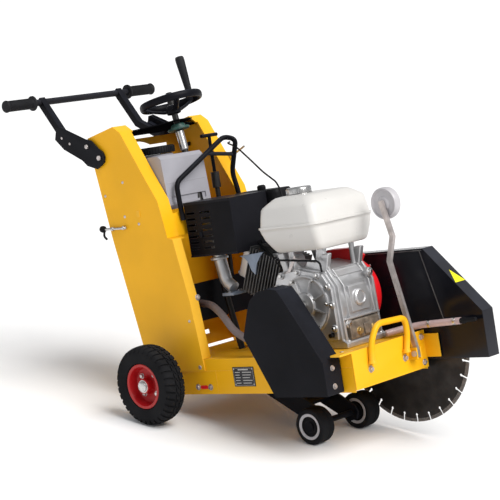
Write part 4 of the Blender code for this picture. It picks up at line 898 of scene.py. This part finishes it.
def base_details():
    bm = bmesh.new()
    for x, z in ((0.076, -0.03), (0.123, -0.031), (0.098, 0.024)):
        add_bolt(bm, (x, -WALL_Y, z), (0, -1, 0), 0.0062, 0.0044, 0.0086)
    for y in (-0.105, 0.033):
        add_bolt(bm, (0.6364, y, -0.004), (1, 0, 0), 0.0062, 0.006, 0.009)
    for z in (0.036, -0.03):
        add_bolt(bm, (0.6364, 0.108, z), (1, 0, 0), 0.0058, 0.0046, 0.0084)
    add_bolt(bm, (0.0975, -0.14, 0.209), (1, 0, 0.16), 0.0058, 0.0046, 0.0086)
    for x, y in ((0.06, -0.15), (0.06, 0.15), (0.29, -0.15), (0.3, 0.108), (0.6, 0.108), (0.59, -0.15)):
        add_bolt(bm, (x, y, 0.045), (0, 0, 1), 0.0062, 0.0046, 0.009)
    for z in (0.02, -0.026):
        add_bolt(bm, (0.598, -0.204, z), (1, 0, 0), 0.0052, 0.004, 0.0074)
    piece("frame_bolts", bm, "machine", "zinc_plate", edge=0.0003)
    bm = bmesh.new()
    pill = []
    for k in range(16):
        a = 2 * pi * k / 16
        pill.append((0.0995 + copysign(0.0085, cos(a)) + 0.0052 * cos(a), -0.0306 + 0.0052 * sin(a)))
    add_prism(bm, pill, -WALL_Y - 0.0018, -WALL_Y + 0.0004)
    piece("red_marker", bm, "machine", "red_paint", edge=0.0005)
    bm = bmesh.new()
    add_box(bm, (-0.0595, 0.6315), (-WALL_Y - 0.0009, -WALL_Y + 0.0004), (0.012, 0.0138))
    for x in (0.15, 0.43):
        add_box(bm, (x, x + 0.0018), (-WALL_Y - 0.0008, -WALL_Y + 0.0004), (-0.049, 0.0118))
    for y in (-0.105, 0.033):
        add_lathe(bm, [(0.0078, -0.004), (0.0105, -0.004), (0.0088, 0.004), (0.0078, 0.005)],
                  (LIFT_X, y, 0.0145), (0, 0, 1), 32)
    piece("weld_seams", bm, "machine", "yellow_paint", edge=0.0003)


base_details()


def nameplate_print():
    """Blank bars where a nameplate has its rows, four rivets and a border."""
    x0, x1, z0, z1 = 0.216, 0.293, -0.03, 0.022
    y0, y1 = -PLATE_TOP_Y - 0.00025, -PLATE_TOP_Y + 0.0002
    bm = bmesh.new()
    add_box(bm, (x0 + 0.02, x1 - 0.02), (y0, y1), (z1 - 0.0085, z1 - 0.0055))
    for row in range(5):
        z = z1 - 0.015 - row * 0.0072
        add_box(bm, (x0 + 0.008, x0 + 0.026 - 0.002 * (row % 2)), (y0, y1), (z, z + 0.0018))
        add_box(bm, (x0 + 0.034, x1 - 0.009 - 0.004 * (row % 3)), (y0, y1), (z, z + 0.0018))
    for a, b, c, d in ((x0 + 0.003, x1 - 0.003, z1 - 0.0034, z1 - 0.0028),
                       (x0 + 0.003, x1 - 0.003, z0 + 0.0028, z0 + 0.0034),
                       (x0 + 0.003, x0 + 0.0036, z0 + 0.003, z1 - 0.003),
                       (x1 - 0.0036, x1 - 0.003, z0 + 0.003, z1 - 0.003)):
        add_box(bm, (a, b), (y0, y1), (c, d))
    for x in (x0 + 0.0055, x1 - 0.0055):
        for z in (z0 + 0.0055, z1 - 0.0055):
            add_dome(bm, (x, -PLATE_TOP_Y, z), (0, -1, 0), 0.0018, 0.001)
    piece("plate_rows", bm, "machine", "plate_print", mat=PRINT)


nameplate_print()


def guard_details():
    """Warning triangle without a symbol on the guard's slope, face rivets, and seam lines in light grey,
    which is a painted highlight along the seams' folds.
    """
    top, nose = Vector((GUARD_TOP[0], 0, GUARD_TOP[1])), Vector((GUARD_NOSE[0], 0, GUARD_NOSE[1]))
    down = (nose - top).normalized()
    out = Vector((-down.z, 0, down.x))
    if out.z < 0:
        out = -out
    centre = top + down * 0.1085 + Vector((0, 0.1498, 0))
    for name, grow, lift, mat, slot in (("sticker_border", 0.001, 0.0002, MAT["black_plastic"],
            "black_plastic"), ("sticker_triangle", 0.0, 0.0004, LEMON, "yellow_paint")):
        bm = bmesh.new()
        low, high = [], []
        for along, aside in ((-0.0225 - grow, 0.0), (0.0215 + grow, 0.0205 + grow),
                (0.0215 + grow, -0.0205 - grow)):
            flat = down * along + Vector((0, aside, 0))
            low.append(bm.verts.new(centre + flat - out * 0.0003))
            high.append(bm.verts.new(centre + flat + out * lift))
        bm.faces.new(low)
        bm.faces.new(high[::-1])
        for i in range(3):
            j = (i + 1) % 3
            bm.faces.new((low[i], high[i], high[j], low[j]))
        piece(name, bm, "guard", slot, mat=mat)
    bm = bmesh.new()
    for x, z in ((0.345, 0.02), (0.345, 0.12), (0.445, 0.24), (0.65, 0.24), (0.8, 0.08), (0.8, 0.0)):
        add_dome(bm, (x, GUARD_FACE_Y, z), (0, 1, 0), 0.0055, 0.0026)
    piece("guard_rivets", bm, "guard", "zinc_plate")
    # Seam lines drawn lighter than the black guard: real seams, with a painted highlight on their folds.
    bm = bmesh.new()
    add_prism(bm, [(0.656, 0.255), (0.6588, 0.2556), (0.706, 0.072), (0.7032, 0.0712)], 0.1266, 0.1276)
    add_prism(bm, [(0.45, 0.256), (0.664, 0.256), (0.664, 0.2585), (0.45, 0.2585)], 0.1267, 0.1276)
    piece("guard_seam_highlight", bm, "guard", "black_paint", edge=0.0002, mat=DARK_CAST)


guard_details()


def blade_segments():
    """Sintered rim segments between the slots, a little thicker than the core."""
    bx, bz = BLADE_AXIS
    step = 2 * pi / BLADE_SEGMENTS
    bm = bmesh.new()
    for k in range(BLADE_SEGMENTS):
        first, last = k * step + 0.003 / BLADE_R, (k + 1) * step - 0.003 / BLADE_R
        poly = []
        for s in range(6):
            a = first + (last - first) * s / 5
            poly.append((bx + (BLADE_R - 0.0002) * cos(a), bz + (BLADE_R - 0.0002) * sin(a)))
        for s in range(6):
            a = last - (last - first) * s / 5
            poly.append((bx + 0.1925 * cos(a), bz + 0.1925 * sin(a)))
        add_prism(bm, poly, 0.1416, 0.1452)
    piece("blade_segments", bm, "spindle", "blade_steel", sharp=30, mat=GRIT)


blade_segments()


def pointer_wheel():
    x, z = POINTER_WHEEL
    bm = bmesh.new()
    half = [(0.0054, 0.012), (0.015, 0.0122), (0.0165, 0.0112), (0.0185, 0.0082), (0.033, 0.008),
            (0.035, 0.0095), (0.037, 0.012), (0.0392, 0.0118), (0.041, 0.009), (0.0415, 0.004)]
    add_lathe(bm, mirrored(half), (x, 0.0785, z), (0, 1, 0))
    piece("pointer_wheel_moulded", bm, "pointer_roller", "nylon", ("pointer_wheel",))


pointer_wheel()

# ---- CAD pieces that stay: their slots' surfaces, smooth round faces and softened sheet edges
NODE_SLOT = {row["node"]: row["material_slot"] for row in frame["record"]["subparts"]}
OWN_FINISH = {"cylinder": DARK_CAST, "blade_guard": GLOSS_BLACK, "top_plate": MATT_BLACK,
              "lead_screw": DARK_STEEL, "water_pipe": DARK_STEEL}
WELD_DISTANCE = 0.00001
SHEET_EDGE = 0.0008
BEVEL_ANGLE, SPLIT_ANGLE = radians(38), radians(34)
for node, obj in frame["nodes"].items():
    obj.data.materials.clear()
    obj.data.materials.append(OWN_FINISH.get(node, MAT[NODE_SLOT[node]]))
    for face in obj.data.polygons:
        face.use_smooth = True
    if "custom_normal" in obj.data.attributes:
        obj.data.attributes.remove(obj.data.attributes["custom_normal"])
    weld = obj.modifiers.new("weld", "WELD")
    weld.merge_threshold = WELD_DISTANCE
    edge = obj.modifiers.new("edge", "BEVEL")
    edge.width = SHEET_EDGE
    edge.segments = 2
    edge.limit_method = "ANGLE"
    edge.angle_limit = BEVEL_ANGLE
    split = obj.modifiers.new("split", "EDGE_SPLIT")
    split.split_angle = SPLIT_ANGLE
    flat = obj.modifiers.new("flats", "WEIGHTED_NORMAL")
    flat.keep_sharp = True

# ---- floor, light and camera
floor_mesh = bpy.data.meshes.new("floor")
REACH = 40.0
floor_mesh.from_pydata([(-REACH, -REACH, 0), (REACH, -REACH, 0), (REACH, REACH, 0), (-REACH, REACH, 0)], [],
                       [(0, 1, 2, 3)])
floor_mesh.materials.append(surface("floor_paper", (0.93, 0.93, 0.935), 0.9, tint=0.005, spec=0.1, bump=0.0))
floor = bpy.data.objects.new("floor", floor_mesh)
bpy.context.scene.collection.objects.link(floor)

world = bpy.data.worlds.new("studio")
world.use_nodes = True
world.node_tree.nodes["Background"].inputs["Color"].default_value = (0.95, 0.97, 1.0, 1.0)
world.node_tree.nodes["Background"].inputs["Strength"].default_value = 0.44
bpy.context.scene.world = world


def area_light(name, location, target, size, power, colour=(1.0, 1.0, 1.0)):
    data = bpy.data.lights.new(name, "AREA")
    data.shape = "DISK"
    data.size = size
    data.energy = power
    data.color = colour
    lamp = bpy.data.objects.new(name, data)
    lamp.location = location
    lamp.rotation_euler = (Vector(target) - Vector(location)).to_track_quat("-Z", "Y").to_euler()
    bpy.context.scene.collection.objects.link(lamp)


MIDDLE = (CAD_LOW + CAD_HIGH) / 2
key_data = bpy.data.lights.new("key", "SUN")
key_data.energy = 3.4
key_data.angle = 0.7
key_data.color = (1.0, 0.985, 0.96)
key = bpy.data.objects.new("key", key_data)
key.rotation_euler = Vector((-3.0, -0.1, -3.6)).to_track_quat("-Z", "Y").to_euler()
bpy.context.scene.collection.objects.link(key)
area_light("fill", (-0.4, -4.2, 2.0), MIDDLE, 2.4, 8.0)

CAM_AZIMUTH = 43.0724
CAM_ELEVATION = 12.402
CAM_DISTANCE = 4.6346
CAM_LENS, CAM_SENSOR = 123.38, 36.0
CAM_TARGET = Vector((-0.0026, 0.0, 0.4497))
azimuth, elevation = radians(CAM_AZIMUTH), radians(CAM_ELEVATION)
back = Vector((sin(azimuth) * cos(elevation), -cos(azimuth) * cos(elevation), sin(elevation)))
camera_data = bpy.data.cameras.new("camera")
camera_data.sensor_width = CAM_SENSOR
camera_data.lens = CAM_LENS
camera = bpy.data.objects.new("camera", camera_data)
camera.location = CAM_TARGET + back * CAM_DISTANCE
camera.rotation_mode = "QUATERNION"
camera.rotation_quaternion = (-back).to_track_quat("-Z", "Y")
bpy.context.scene.collection.objects.link(camera)
bpy.context.scene.camera = camera
bpy.context.scene.view_settings.view_transform = "Standard"
